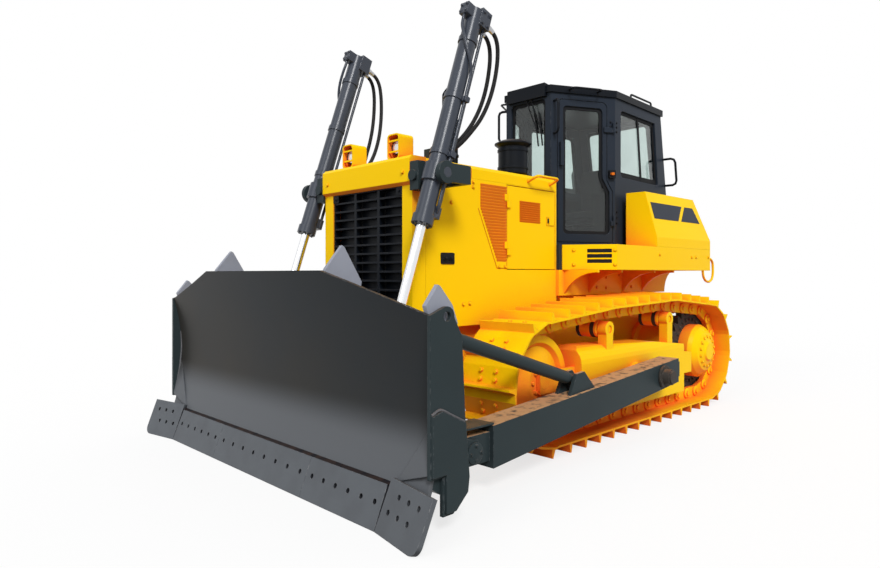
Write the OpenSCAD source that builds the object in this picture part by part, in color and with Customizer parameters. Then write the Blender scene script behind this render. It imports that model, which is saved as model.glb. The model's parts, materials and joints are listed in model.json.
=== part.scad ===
// Crawler bulldozer: hexagonal cab, semi-U blade on outside push arms, twin lift cylinders.
// Millimetres. X runs forward, Y to the machine's left, Z up from the ground.
// Lengths called *_d are distances behind the foremost corner of the blade.

/* [Tracks] */
// Distance between the two tracks' middles
track_gauge = 2000; // [1800:10:2200]
// Width of one shoe
shoe_w = 560; // [480:10:620]
// Pitch of the shoes along the chain
shoe_pitch = 216; // [190:1:240]
// Shoes that the drive sprocket's circle holds
sprocket_links = 13; // [12:1:14]
// Radius of the chain's pitch line on the front idler
idler_pitch_r = 430; // [380:5:450]
// Height of a grouser above its plate
grouser_h = 70; // [50:1:90]
// Thickness of a shoe's plate
shoe_t = 18; // [14:1:26]
// Pitch line to the inner face of the shoe's plate
link_out = 57; // [45:1:70]
// Pitch line to the face of the link that rollers run on
link_in = 50; // [40:1:60]
// Thickness of one link of the chain
link_w = 50; // [40:1:60]
// Distance between the two link rails' middles
link_gauge = 150; // [130:5:180]
// Station of the front idler
idler_d = 2010; // [1950:5:2080]
// Station of the drive sprocket
sprocket_d = 4850; // [4800:5:4950]
// Station of the front carrier roller
carrier_front_d = 2920; // [2850:5:3000]
// Station of the rear carrier roller
carrier_rear_d = 4060; // [3980:5:4120]
// Height of the chain's pitch line over the front carrier roller
carrier_front_z = 1085; // [1075:1:1095]
// Height of the chain's pitch line over the rear carrier roller
carrier_rear_z = 1122; // [1110:1:1130]
// Radius of a carrier roller
carrier_r = 82; // [70:1:90]
// Radius of a track roller
roller_r = 100; // [85:1:110]
// Number of track rollers on one side
roller_count = 6; // [5:1:6]

/* [Blade] */
// How far the blade reaches past the push arms on each side
blade_over = 342; // [310:1:370]
// Span of one end bit across the machine
end_bit_span = 432; // [400:1:460]
// How far an end bit reaches past the curved plate
end_bit_over = 125; // [110:1:140]
// How far the end bits lean forward of the straight edges
end_bit_lead = 80; // [60:1:100]
// Height at which the cutting edges meet the curved plate
edge_top_z = 250; // [230:1:270]
// Setback of the cutting edges from bottom to top
edge_lean = 100; // [80:1:120]
// Thickness of the cutting edges
edge_t = 30; // [24:1:40]
// Height of the curved plate in the middle
blade_h = 1473; // [1400:1:1550]
// Height of the curved plate at its ends
blade_end_h = 1225; // [1180:1:1260]
// Half-width of the level top edge
blade_top_half_w = 825; // [760:5:880]
// Station of the top edge
blade_top_d = 112; // [90:1:140]
// Depth of the plate's curve
blade_sagitta = 116; // [100:1:150]
// Thickness of the curved plate
blade_t = 25; // [18:1:35]
// Thickness of the end plates
end_plate_t = 25; // [18:1:30]
// Radius of the lifting eye in each end plate
lift_eye_r = 28; // [22:1:34]

/* [Push arms] */
// Clearance between a push arm and its track
arm_gap = 40; // [30:1:60]
// Width of a push arm
arm_w = 200; // [180:5:220]
// Station of the arm's front end
arm_front_d = 990; // [950:5:1040]
// Station of the arm's rear end
arm_rear_d = 3600; // [3560:5:3650]
// Station of the trunnion the arm turns on
trunnion_d = 3300; // [3260:5:3360]
// Radius of the trunnion
trunnion_r = 75; // [65:1:85]
// Radius of the brace tube
brace_r = 48; // [40:1:55]

/* [Lift cylinders] */
// Middle of a lift cylinder from the machine's middle
lift_y = 785; // [770:5:820]
// Station of the cylinder's trunnion
yoke_d = 1150; // [1130:5:1180]
// Height of the cylinder's trunnion
yoke_z = 2200; // [2150:5:2250]
// Station of the rod's eye
rod_eye_d = 650; // [640:5:680]
// Height of the rod's eye
rod_eye_z = 700; // [680:5:730]
// Radius of the barrel
barrel_r = 70; // [60:1:80]
// Radius of the rod
rod_r = 38; // [32:1:44]
// Barrel above its trunnion
barrel_up = 1418; // [1350:1:1450]
// Barrel below its trunnion
barrel_down = 407; // [380:1:430]

/* [Hood] */
// Half-width of the hood
hood_half_w = 590; // [570:1:610]
// Height of the hood's top
hood_z = 2365; // [2330:1:2400]
// Height of the seam below the top cover
hood_seam_z = 2250; // [2230:1:2265]
// Thickness of the hood's panels
hood_t = 40; // [30:1:50]
// Station of the brow above the grille
brow_d = 1070; // [1050:1:1080]
// Station where the radiator guard meets the hood
hood_front_d = 1240; // [1230:5:1270]
// Station of the hood's rear
hood_rear_d = 2950; // [2920:5:2960]
// Station of the engine door's hinge edge
engine_door_front_d = 2217; // [2200:1:2240]
// Station of the engine door's latch edge
engine_door_rear_d = 2925; // [2880:1:2930]
// Height of the engine door's lower edge
engine_door_z = 1495; // [1450:5:1550]

/* [Cab] */
// Height of the fender decks and cab floor
deck_z = 1735; // [1710:1:1760]
// Height of the decks' lower edge
deck_low_z = 1490; // [1470:1:1510]
// Height of the cab's walls
cab_top_z = 3335; // [3280:1:3360]
// Station of the cab's front
cab_front_d = 3250; // [3230:1:3280]
// Half-width of the cab's front
cab_front_half_w = 300; // [270:1:330]
// Station of the cab's widest place
cab_mid_d = 3930; // [3880:1:3960]
// Half-width of the cab's widest place
cab_mid_half_w = 645; // [630:1:655]
// Station of the cab's rear at the roof
cab_rear_d = 5040; // [4980:1:5045]
// How much farther back the leaning rear wall's foot stands
cab_lean = 170; // [150:1:180]
// Half-width of the cab's rear
cab_rear_half_w = 582; // [570:1:600]
// Thickness of the cab's walls
cab_wall = 60; // [50:1:70]
// Width of the door's frame members
door_rail = 62; // [50:1:80]

/* [Fenders and tanks] */
// Half-width over the fenders
fender_half_w = 1065; // [1040:1:1090]
// Half-width of the platform between the fenders
platform_half_w = 620; // [610:1:640]
// Station of the fenders' rear
fender_rear_d = 5336; // [5300:1:5360]
// Station of the side tanks' front
tank_front_d = 4050; // [4020:1:4100]
// Height of the side tanks' top
tank_z = 2320; // [2260:1:2350]
// Half-width of the side tanks' top
tank_top_half_w = 930; // [900:1:960]

/* [Drawbar] */
// Length of the drawbar from the hull to its pin hole
drawbar_l = 650; // [600:5:700]
// Radius of the drawbar's pin hole
hitch_r = 30; // [24:1:36]

/* [Hidden] */
$fn = 48;
// Running clearance at pins and bearings
pin_gap = 0.1;
// Clearance between pieces that seat on each other's curves
seat_gap = 0.3;
// Clearance round doors
door_gap = 6;
hitch_jaw_r = 70;
hull_rear_d = sprocket_d + 100;
hitch_d = hull_rear_d + drawbar_l;
overall_l = hitch_d + hitch_jaw_r;
function fx(d) = overall_l / 2 - d;
function unit(v) = v / norm(v);

// Track sizes that follow from the chain
sprocket_pitch_r = shoe_pitch / (2 * sin(180 / sprocket_links));
chain_z = link_out + shoe_t + grouser_h;
sprocket_z = chain_z + sprocket_pitch_r;
idler_z = chain_z + idler_pitch_r;
track_y = track_gauge / 2;
rail_z = chain_z + link_in;
roller_z = rail_z + roller_r;
track_out_y = track_y + shoe_w / 2;

// Widths that follow from the tracks
arm_y = track_out_y + arm_gap + arm_w / 2;
arm_in_y = arm_y - arm_w / 2;
arm_out_y = arm_y + arm_w / 2;
blade_half_w = arm_out_y + blade_over;
edge_half_w = blade_half_w - end_bit_span;
blade_plate_half_w = blade_half_w - end_bit_over;

// Corners of the chain's pitch line, from under the sprocket round to under the idler
function circle_pt(c, r, a) = [c.x + r * cos(a), c.y + r * sin(a)];
function arc(c, r, a, b) = [for (i = [0:6]) circle_pt(c, r, a + (b - a) * i / 6)];
sprocket_c = [fx(sprocket_d), sprocket_z];
idler_c = [fx(idler_d), idler_z];
rise_rear = atan2(carrier_rear_z - sprocket_z - sprocket_pitch_r, sprocket_d - carrier_rear_d);
fall_front = atan2(carrier_front_z - idler_z - idler_pitch_r, carrier_front_d - idler_d);
arc_steps = 20;
chain_pts = concat(
    [for (i = [0:arc_steps]) circle_pt(sprocket_c, sprocket_pitch_r, 270 - (180 - rise_rear) * i / arc_steps)],
    [[fx(carrier_rear_d), carrier_rear_z], [fx(carrier_front_d), carrier_front_z]],
    [for (i = [0:arc_steps]) circle_pt(idler_c, idler_pitch_r, 90 - fall_front - (180 - fall_front) * i / arc_steps)],
    [circle_pt(sprocket_c, sprocket_pitch_r, 270)]);
chain_n = len(chain_pts);
chain_s = [for (i = 0, s = 0; i < chain_n; s = s + (i + 1 < chain_n ? norm(chain_pts[i + 1] - chain_pts[i]) : 0),
    i = i + 1) s];
chain_l = chain_s[chain_n - 1];
shoe_count = round(chain_l / shoe_pitch);
shoe_step = chain_l / shoe_count;
chain_x_table = [for (i = [0:chain_n - 1]) [chain_s[i], chain_pts[i].x]];
chain_z_table = [for (i = [0:chain_n - 1]) [chain_s[i], chain_pts[i].y]];
function wrap(s) = s < 0 ? s + chain_l : s > chain_l ? s - chain_l : s;
function chain_at(s) = [lookup(wrap(s), chain_x_table), lookup(wrap(s), chain_z_table)];
function chain_dir(s) = let (d = chain_at(s + shoe_step / 2) - chain_at(s - shoe_step / 2)) d / norm(d);
function off_chain(s, u, n) = let (d = chain_dir(s)) chain_at(s) + u * d + n * [-d.y, d.x];

// Shoe profile as [along, out] from the middle of a link
plate_top = link_out + shoe_t;
half_plate = 0.46 * shoe_step;
half_link = 0.40 * shoe_step;
grouser_foot = 0.40 * shoe_step;
grouser_base = 42;
grouser_tip = 14;
shoe_profile = [
    [-half_plate, plate_top],
    [grouser_foot - grouser_base, plate_top],
    [grouser_foot - grouser_base / 2 - grouser_tip / 2, plate_top + grouser_h],
    [grouser_foot - grouser_base / 2 + grouser_tip / 2, plate_top + grouser_h],
    [grouser_foot, plate_top],
    [half_plate, plate_top]];

// Cutting edge and curved plate
edge_slant = atan2(edge_lean, edge_top_z);
edge_l = norm([edge_lean, edge_top_z]);
edge_d = end_bit_lead;
edge_top_d = edge_d + edge_lean;
end_bit_turn = atan2(end_bit_lead, end_bit_span);
end_bit_w = norm([end_bit_lead, end_bit_span]);
blade_foot_d = edge_top_d + edge_t / cos(edge_slant);
chord = [blade_foot_d - blade_top_d, blade_h - edge_top_z];
blade_r = (norm(chord) * norm(chord) / 4 + blade_sagitta * blade_sagitta) / (2 * blade_sagitta);
blade_c_d = (blade_foot_d + blade_top_d) / 2 - (blade_r - blade_sagitta) * chord.y / norm(chord);
blade_c_z = (edge_top_z + blade_h) / 2 - (blade_r - blade_sagitta) * chord.x / norm(chord);
blade_back_r = blade_r + blade_t;

// Push arm heights
arm_front_low_z = 180;
arm_front_top_z = 460;
arm_rear_low_z = 440;
arm_rear_top_z = 660;
function arm_share(d) = (d - arm_front_d) / (arm_rear_d - arm_front_d);
function arm_low(d) = arm_front_low_z + (arm_rear_low_z - arm_front_low_z) * arm_share(d);
function arm_top(d) = arm_front_top_z + (arm_rear_top_z - arm_front_top_z) * arm_share(d);
trunnion_z = (arm_low(trunnion_d) + arm_top(trunnion_d)) / 2;
arm_pin_d = 800;
arm_pin_z = 320;
arm_pin_r = 45;
brace_low_d = 2040;
brace_low_z = 625;
brace_top_d = 480;
brace_top_z = 1115;
brace_pin_r = 30;
brace_eye_w = 80;

// Lift cylinder slant and lengths
lift_slant = atan2(yoke_d - rod_eye_d, yoke_z - rod_eye_z);
lift_l = norm([yoke_d - rod_eye_d, yoke_z - rod_eye_z]);
barrel_bore_r = barrel_r - 15;
gland_l = 70;
rod_l = 1760;
piston_l = 60;
lift_pin_r = 40;
rod_eye_play = 32;
rod_eye_r = lift_pin_r + rod_eye_play;
rod_eye_w = 90;
lift_ear_gap = 5;
lift_ear_t = 30;
yoke_pin_r = 38;
yoke_ear_t = 45;
yoke_ear_gap = 5;
yoke_in_y = lift_y - barrel_r - 25 - yoke_ear_gap;
yoke_out_y = lift_y + barrel_r + 25 + yoke_ear_gap;

// Cab walls at the floor: outer and inner corners, anticlockwise from the front right
cab_foot_d = cab_rear_d + cab_lean;
cab_waist_z = tank_z + 10;
cab_o = [
    [fx(cab_front_d), -cab_front_half_w],
    [fx(cab_front_d), cab_front_half_w],
    [fx(cab_mid_d), cab_mid_half_w],
    [fx(cab_foot_d), cab_rear_half_w],
    [fx(cab_foot_d), -cab_rear_half_w],
    [fx(cab_mid_d), -cab_mid_half_w]];
function left_of(a, b) = let (v = (b - a) / norm(b - a)) [-v.y, v.x];
function inset_pt(a, b, c, t) = let (m = left_of(a, b), n = left_of(b, c)) b + t * (m + n) / (1 + m * n);
function inset(p, t) = let (k = len(p)) [for (i = [0:k - 1]) inset_pt(p[(i + k - 1) % k], p[i], p[(i + 1) % k], t)];
cab_i = inset(cab_o, cab_wall);
function wall_l(k) = norm(cab_o[(k + 1) % 6] - cab_o[k]);
function at_x(a, b, x) = a + (b - a) * (x - a.x) / (b.x - a.x);
roof_o = [cab_o[0], cab_o[1], cab_o[2], at_x(cab_o[2], cab_o[3], fx(cab_rear_d)),
    at_x(cab_o[5], cab_o[4], fx(cab_rear_d)), cab_o[5]];
side_end_o = cab_o[3] + 50 * (cab_o[3] - cab_o[2]) / wall_l(2);
side_end_i = side_end_o + cab_wall * left_of(cab_o[2], cab_o[3]);

// Doors in the slanting front walls
door_sill_z = deck_z + 45;
door_head_z = cab_top_z - 60;
door_u0 = 75;
door_u1 = wall_l(1) - 28;
door_top_u1 = door_u1 - 70;
door_jog_z = 2330;
door_jog_h = 120;
door_corner_r = 60;
door_t = 46;
door_hinge_out = 22;
door_hinge_r = 14;
glass_t = 8;
pane_r = 45;
function door_outline(g) = concat(
    [[door_u0 + g, door_sill_z + g], [door_u1 - g, door_sill_z + g], [door_u1 - g, door_jog_z - g],
        [door_top_u1 - g, door_jog_z + door_jog_h - g]],
    arc([door_top_u1 - g - door_corner_r, door_head_z - g - door_corner_r], door_corner_r, 0, 90),
    arc([door_u0 + g + door_corner_r, door_head_z - g - door_corner_r], door_corner_r, 90, 180));
door_pane_u0 = door_u0 + door_gap + door_rail;
door_pane_u1 = door_u1 - door_gap - 34;
door_pane_top_u1 = door_top_u1 - door_gap - 50;
door_pane_low_z = door_sill_z + 90;
door_pane_top_z = door_head_z - door_gap - door_rail;
function door_window(g) = concat(
    arc([door_pane_u0 + g + pane_r, door_pane_low_z + g + pane_r], pane_r, 180, 270),
    arc([door_pane_u1 - g - pane_r, door_pane_low_z + g + pane_r], pane_r, 270, 360),
    [[door_pane_u1 - g, door_jog_z - 10 - g], [door_pane_top_u1 - g, door_jog_z + door_jog_h + 20 - g]],
    arc([door_pane_top_u1 - g - pane_r, door_pane_top_z - g - pane_r], pane_r, 0, 90),
    arc([door_pane_u0 + g + pane_r, door_pane_top_z - g - pane_r], pane_r, 90, 180));

// Engine doors
engine_door_top_z = hood_seam_z - 12;
engine_hinge_out = 14;
engine_hinge_r = 11;
engine_hinge_zs = [engine_door_z + 120, engine_door_top_z - 200];

// Fender outline, left side
fender_o = [
    [fx(hood_rear_d + 50), platform_half_w],
    [fx(hood_rear_d + 320), fender_half_w],
    [fx(fender_rear_d), fender_half_w],
    [fx(fender_rear_d), platform_half_w]];
fender_plate = 22;

// Radiator
guard_d = 1100;
guard_low_z = 640;
core_half_w = 470;
core_low_z = 800;
core_top_z = 2137;

// Main hull
hull_half_w = 480;
hull_low_z = 430;
hood_low_z = 1020;
hull_top_z = 1240;

// Hose routes on the left side, from the barrel's head to the block on the hood
hose_r = 17;
hose_sides = 8;
hose_out_route = [[1683, 830, 3435], [1740, 830, 3416], [1790, 829, 3376], [1818, 826, 3310], [1826, 820, 3220],
    [1820, 812, 3120], [1804, 800, 3010], [1778, 784, 2900], [1742, 764, 2795], [1698, 738, 2700],
    [1646, 703, 2615], [1595, 662, 2538], [1548, 622, 2480], [1500, 590, 2441], [1450, 567, 2421],
    [1425, 561, 2416], [1400, 561, 2416]];
hose_in_route = [[1683, 740, 3435], [1740, 740, 3416], [1792, 738, 3378], [1824, 734, 3316], [1836, 727, 3230],
    [1834, 716, 3130], [1822, 702, 3020], [1800, 685, 2910], [1768, 664, 2806], [1727, 640, 2712],
    [1678, 612, 2628], [1622, 580, 2553], [1562, 548, 2490], [1502, 520, 2446], [1450, 504, 2422],
    [1425, 500, 2416], [1400, 500, 2416]];

yellow = [1.0, 0.78, 0.05];
charcoal = [0.22, 0.24, 0.26];
steel = [0.5, 0.5, 0.52];
pale_steel = [0.66, 0.66, 0.69];
chrome = [0.82, 0.83, 0.85];
black = [0.09, 0.09, 0.1];
glass = [0.35, 0.42, 0.48, 0.4];

// Extrudes an outline given as [station, height] from y0 to y1
module slab_y(pts, y0, y1) {
    translate([0, y1, 0])
        rotate([90, 0, 0])
            linear_extrude(y1 - y0)
                polygon([for (p = pts) [fx(p.x), p.y]]);
}

// Extrudes an outline given as [side, height] between two stations
module slab_x(pts, d0, d1) {
    translate([fx(d1), 0, 0])
        rotate([90, 0, 90])
            linear_extrude(d1 - d0)
                polygon(pts);
}

// Box between two stations, two sides and two heights
module block(d0, d1, y0, y1, z0, z1) {
    translate([fx(d1), y0, z0])
        cube([d1 - d0, y1 - y0, z1 - z0]);
}

// Cylinder across the machine at one station and height
module shaft(d, z, r, y0, y1) {
    translate([fx(d), y1, z])
        rotate([90, 0, 0])
            cylinder(r = r, h = y1 - y0);
}

module both_sides() {
    children();
    mirror([0, 1, 0])
        children();
}

// Round bar between two points
module bar(a, b, r) {
    v = b - a;
    translate(a)
        rotate([0, acos(v.z / norm(v)), atan2(v.y, v.x)])
            cylinder(r = r, h = norm(v));
}

// Closed skin over a row of rings of points
module skin(rings) {
    s = len(rings[0]);
    k = len(rings);
    sides = [for (i = [0:k - 2], j = [0:s - 1]) let (m = (j + 1) % s)
        [i * s + j, i * s + m, (i + 1) * s + m, (i + 1) * s + j]];
    caps = [[for (j = [0:s - 1]) s - 1 - j], [for (j = [0:s - 1]) (k - 1) * s + j]];
    polyhedron([for (g = rings) for (q = g) q], concat(sides, caps));
}

// Round bar bent to a D between two feet: o its reach, c its bend radius, m the normal of the face under its feet
module d_rail(a, b, o, c, r, m) {
    e = unit(b - a);
    h = unit(o);
    n = cross(h, e);
    near = 0.293 * c;
    pts = [a, a + o - c * h, a + o - near * h + near * e, a + o + c * e, b + o - c * e, b + o - near * h - near * e,
        b + o - c * h, b];
    k = len(pts);
    skin([for (i = [0:k - 1]) let (t = unit(pts[min(i + 1, k - 1)] - pts[max(i - 1, 0)]), w = cross(t, n))
        [for (j = [0:11]) let (q = r * (cos(30 * j) * n + sin(30 * j) * w))
            i == 0 || i == k - 1 ? pts[i] + q - t * (q * m) / (t * m) : pts[i] + q]]);
}

// Plate whose outline lies in the plane of its first and third axes
module plate(pts, t) {
    translate([0, t, 0])
        rotate([90, 0, 0])
            linear_extrude(t)
                polygon(pts);
}

// Plate with round corners, from its lower left corner
module round_plate(w, h, t, r) {
    plate(concat(arc([r, r], r, 180, 270), arc([w - r, r], r, 270, 360), arc([w - r, h - r], r, 0, 90),
        arc([r, h - r], r, 90, 180)), t);
}

module main_frame() {
    hull_r = deck_low_z - hull_top_z;
    side = hood_half_w - hood_t;
    color(yellow) {
        slab_y([[hood_front_d, guard_low_z], [hood_front_d + 180, hull_low_z], [hull_rear_d - 250, hull_low_z],
            [hull_rear_d, guard_low_z], [hull_rear_d, hull_top_z], [hood_front_d, hull_top_z]], -hull_half_w,
            hull_half_w);
        block(hood_front_d, hood_rear_d + 30, -side, side, hood_low_z, hull_top_z);
        block(hood_rear_d - hood_t, hood_rear_d, -side, side, hull_top_z, hood_seam_z);
        difference() {
            block(hood_rear_d, hull_rear_d + 330, -platform_half_w, platform_half_w, hull_top_z, deck_low_z);
            shaft(hull_rear_d + 380, hull_top_z, hull_r, -platform_half_w - 10, platform_half_w + 10);
        }
        both_sides()
            for (d = [85, 505, 1165, 1585])
                gusset(hood_rear_d + d);
    }
}

// Hollow-edged bracket that carries the fender from the hull's side
module gusset(d) {
    t = 30;
    reach = 380;
    difference() {
        slab_x([[platform_half_w - 5, hull_top_z], [platform_half_w - 5, deck_low_z],
            [platform_half_w + reach, deck_low_z], [platform_half_w + reach, hull_top_z]], d, d + t);
        translate([fx(d + t + 10), platform_half_w + 361, hull_top_z - 195])
            rotate([0, 90, 0])
                cylinder(r = 420, h = t + 20);
    }
}

module engine_block() {
    color(charcoal)
        block(hood_front_d + 320, hood_rear_d - 150, -320, 320, hull_top_z, hood_seam_z - 170);
}

module radiator_core() {
    color(black)
        block(guard_d + 80, hood_front_d, -core_half_w, core_half_w, core_low_z, core_top_z);
}

module radiator_guard() {
    color(yellow)
        difference() {
            union() {
                block(guard_d, hood_front_d, -hood_half_w, hood_half_w, guard_low_z, core_top_z);
                slab_y([[guard_d, core_top_z], [brow_d, core_top_z + 23], [brow_d, hood_z - 25],
                    [brow_d + 25, hood_z],
                    [hood_front_d, hood_z], [hood_front_d, core_top_z]], -hood_half_w, hood_half_w);
            }
            block(guard_d - 100, hood_front_d + 100, -core_half_w, core_half_w, core_low_z, core_top_z);
        }
}

grille_bars = 18;
grille_bar_h = 16;
module radiator_grille() {
    step = (core_top_z - core_low_z) / grille_bars;
    column = 2 * core_half_w / 3;
    color(black)
        difference() {
            block(guard_d + 12, guard_d + 68, -core_half_w, core_half_w, core_low_z, core_top_z);
            for (i = [0:grille_bars - 1], k = [-1:1])
                block(guard_d - 100, guard_d + 150, k * column - column / 2 + 15, k * column + column / 2 - 15,
                    core_low_z + i * step + grille_bar_h / 2, core_low_z + (i + 1) * step - grille_bar_h / 2);
        }
}

module hood_top() {
    seam_d = hood_front_d + 515;
    color(yellow)
        difference() {
            slab_x([[-hood_half_w, hood_seam_z], [-hood_half_w, hood_z - 30], [-hood_half_w + 30, hood_z],
                [hood_half_w - 30, hood_z], [hood_half_w, hood_z - 30], [hood_half_w, hood_seam_z]],
                hood_front_d, hood_rear_d);
            block(hood_front_d - 10, hood_rear_d - hood_t, -hood_half_w + hood_t, hood_half_w - hood_t, hood_low_z,
                hood_z - hood_t);
            difference() {
                block(seam_d, seam_d + 6, -hood_half_w - 10, hood_half_w + 10, hood_seam_z - 10, hood_z + 10);
                slab_x([[-hood_half_w + 6, hood_seam_z - 20], [-hood_half_w + 6, hood_z - 33],
                    [-hood_half_w + 33, hood_z - 6], [hood_half_w - 33, hood_z - 6], [hood_half_w - 6, hood_z - 33],
                    [hood_half_w - 6, hood_seam_z - 20]], seam_d - 10, seam_d + 20);
            }
        }
}

louvre_count = 26;
louvre_d = hood_front_d + 628;
louvre_low_z = 1565;
louvre_bend_z = 2007;
louvre_top_z = hood_seam_z - 20;
function louvre_front_d(z) = louvre_d + max(0, louvre_bend_z - z) * 0.475;

module hood_side() {
    y0 = hood_half_w - hood_t;
    pitch = (louvre_top_z - louvre_low_z) / louvre_count;
    rim = 32;
    foot_z = louvre_low_z - 70;
    difference() {
        block(hood_front_d, hood_rear_d, y0, hood_half_w, hood_low_z, hood_seam_z);
        block(engine_door_front_d - door_gap, engine_door_rear_d + door_gap, y0 - 10, hood_half_w + 10,
            engine_door_z - door_gap, engine_door_top_z + door_gap);
        for (i = [0:louvre_count - 1])
            block(louvre_front_d(louvre_low_z + i * pitch), engine_door_front_d - 15, hood_half_w - 22,
                hood_half_w + 10, louvre_low_z + i * pitch, louvre_low_z + i * pitch + pitch * 0.55);
        slab_y([[louvre_front_d(louvre_bend_z) - rim, louvre_bend_z], [louvre_front_d(foot_z) - rim, foot_z],
            [engine_door_front_d, foot_z], [engine_door_front_d, foot_z + 7],
            [louvre_front_d(foot_z) - rim + 5, foot_z + 7], [louvre_front_d(louvre_bend_z) - rim + 8, louvre_bend_z]],
            hood_half_w - 6, hood_half_w + 10);
    }
    for (z = engine_hinge_zs) {
        translate([fx(engine_door_front_d - door_gap), hood_half_w + engine_hinge_out, z + 60 + pin_gap])
            cylinder(r = engine_hinge_r, h = 60);
        block(engine_door_front_d - door_gap - 40, engine_door_front_d - door_gap, hood_half_w - 5,
            hood_half_w + engine_hinge_out, z + 60 + pin_gap, z + 120);
    }
}

module hood_sides() {
    color(yellow)
        both_sides()
            hood_side();
}

module engine_door() {
    vent_low_z = 1926;
    vent_pitch = 19.5;
    latch_d = engine_door_rear_d - 135;
    color(yellow) {
        difference() {
            block(engine_door_front_d, engine_door_rear_d, hood_half_w - hood_t, hood_half_w, engine_door_z,
                engine_door_top_z);
            for (i = [0:9])
                block(engine_door_front_d + 174, engine_door_front_d + 471, hood_half_w - 22, hood_half_w + 10,
                    vent_low_z + i * vent_pitch, vent_low_z + (i + 0.6) * vent_pitch);
        }
        difference() {
            block(latch_d, latch_d + 120, hood_half_w, hood_half_w + 8, vent_low_z - 13, vent_low_z + 69);
            block(latch_d + 8, latch_d + 34, hood_half_w + 2, hood_half_w + 20, vent_low_z - 5, vent_low_z + 61);
        }
        for (z = engine_hinge_zs) {
            translate([fx(engine_door_front_d - door_gap), hood_half_w + engine_hinge_out, z])
                cylinder(r = engine_hinge_r, h = 60);
            block(engine_door_front_d - door_gap, engine_door_front_d + 40, hood_half_w - 5,
                hood_half_w + engine_hinge_out, z, z + 60);
        }
    }
}

module engine_door_left() {
    engine_door();
}

module engine_door_right() {
    mirror([0, 1, 0])
        engine_door();
}

lamp_d = hood_front_d - 100;
lamp_l = 150;
lamp_w = 150;
lamp_h = 210;
lamp_y = 235;
module headlamp_housings() {
    wall = 12;
    color(yellow)
        both_sides()
            translate([fx(lamp_d), lamp_y, hood_z])
                rotate([0, 0, 90])
                    difference() {
                        round_plate(lamp_w, lamp_h, lamp_l, 35);
                        translate([wall, -wall, wall])
                            round_plate(lamp_w - 2 * wall, lamp_h - 2 * wall, lamp_l, 28);
                    }
}

module headlamps() {
    color(chrome)
        both_sides()
            translate([fx(lamp_d + lamp_l - 12), lamp_y + lamp_w / 2, hood_z + lamp_h / 2])
                rotate([0, 90, 0])
                    rotate_extrude()
                        polygon([[0, 0], [34, 0], [34, 40], [56, 80], [56, 94], [0, 94]]);
}

stack_d = 2085;
stack_r = 75;
stack_z = 3280;
module exhaust_stack() {
    color(black)
        translate([fx(stack_d), 0, hood_z])
            difference() {
                union() {
                    cylinder(r = stack_r + 40, h = 20);
                    cylinder(r = stack_r, h = stack_z - hood_z);
                }
                translate([0, 0, 660])
                    cylinder(r = stack_r - 5, h = stack_z);
                translate([stack_r, 0, stack_z - hood_z - 180])
                    rotate([0, -40, 0])
                        translate([0, -500, 0])
                            cube([1000, 1000, 1000]);
            }
}

module air_precleaner() {
    color(black)
        translate([fx(hood_rear_d - 250), 250, hood_z])
            rotate_extrude()
                polygon([[0, 0], [118, 0], [118, 40], [142, 60], [142, 318], [178, 345], [178, 357], [120, 384],
                    [40, 395], [0, 395]]);
}

module platform() {
    color(charcoal)
        block(hood_rear_d, fender_rear_d, -platform_half_w, platform_half_w, deck_low_z, deck_z);
}

module fender() {
    inner = inset(fender_o, fender_plate);
    face = fender_o[1] - fender_o[0];
    difference() {
        translate([0, 0, deck_low_z])
            linear_extrude(deck_z - deck_low_z)
                polygon(fender_o);
        translate([0, 0, deck_low_z - 10])
            linear_extrude(deck_z - deck_low_z - fender_plate + 10)
                polygon(inner);
        translate([fender_o[0].x, fender_o[0].y, deck_low_z])
            rotate([0, 0, atan2(face.y, face.x)])
                for (i = [0:2])
                    translate([240, -20, 66 + 50 * i])
                        cube([232, fender_plate + 40, 36]);
    }
}

module fenders() {
    color(yellow)
        both_sides()
            fender();
}

tank_in_y = platform_half_w + 85;
tank_rear_slope = 166;
tank_step_h = 105;
module side_tank() {
    intersection() {
        slab_y([[tank_front_d, deck_z], [tank_front_d, tank_z], [fender_rear_d - tank_rear_slope, tank_z],
            [fender_rear_d, deck_z + tank_step_h], [fender_rear_d, deck_z]], tank_in_y, fender_half_w);
        slab_x([[tank_in_y, deck_z], [fender_half_w, deck_z], [fender_half_w, deck_z + 100],
            [tank_top_half_w, tank_z], [tank_in_y, tank_z]], tank_front_d, fender_rear_d);
    }
}

module side_tanks() {
    color(yellow)
        both_sides()
            side_tank();
}

module fuel_tank() {
    front_d = cab_foot_d + 20;
    rear_d = fender_rear_d + 140;
    color(yellow)
        slab_y(concat([[front_d, deck_z], [front_d, tank_z - 60]],
            [for (p = arc([0, 0], 80, 90, 0)) [rear_d - 80 + p.x, tank_z - 140 + p.y]],
            [for (p = arc([0, 0], 80, 0, -90)) [rear_d - 80 + p.x, deck_z + 80 + p.y]]), -tank_in_y, tank_in_y);
}

// One wall of the cab as a mitred slab
module cab_slab(k, z0, z1) {
    m = (k + 1) % 6;
    translate([0, 0, z0])
        linear_extrude(z1 - z0)
            polygon([cab_o[k], cab_o[m], cab_i[m], cab_i[k]]);
}

// Frame of one wall: first axis along it, second inward
module at_wall(k) {
    v = cab_o[(k + 1) % 6] - cab_o[k];
    translate([cab_o[k].x, cab_o[k].y, 0])
        rotate([0, 0, atan2(v.y, v.x)])
            children();
}

// Window in one wall, between two places along it and two heights
module window_cut(k, u0, u1, z0, z1) {
    at_wall(k)
        translate([u0, -20, z0])
            round_plate(u1 - u0, z1 - z0, cab_wall + 60, pane_r);
}

module window_pane(k, u0, u1, z0, z1) {
    at_wall(k)
        translate([u0 + seat_gap, cab_wall / 2, z0 + seat_gap])
            round_plate(u1 - u0 - 2 * seat_gap, z1 - z0 - 2 * seat_gap, glass_t, pane_r);
}

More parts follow.
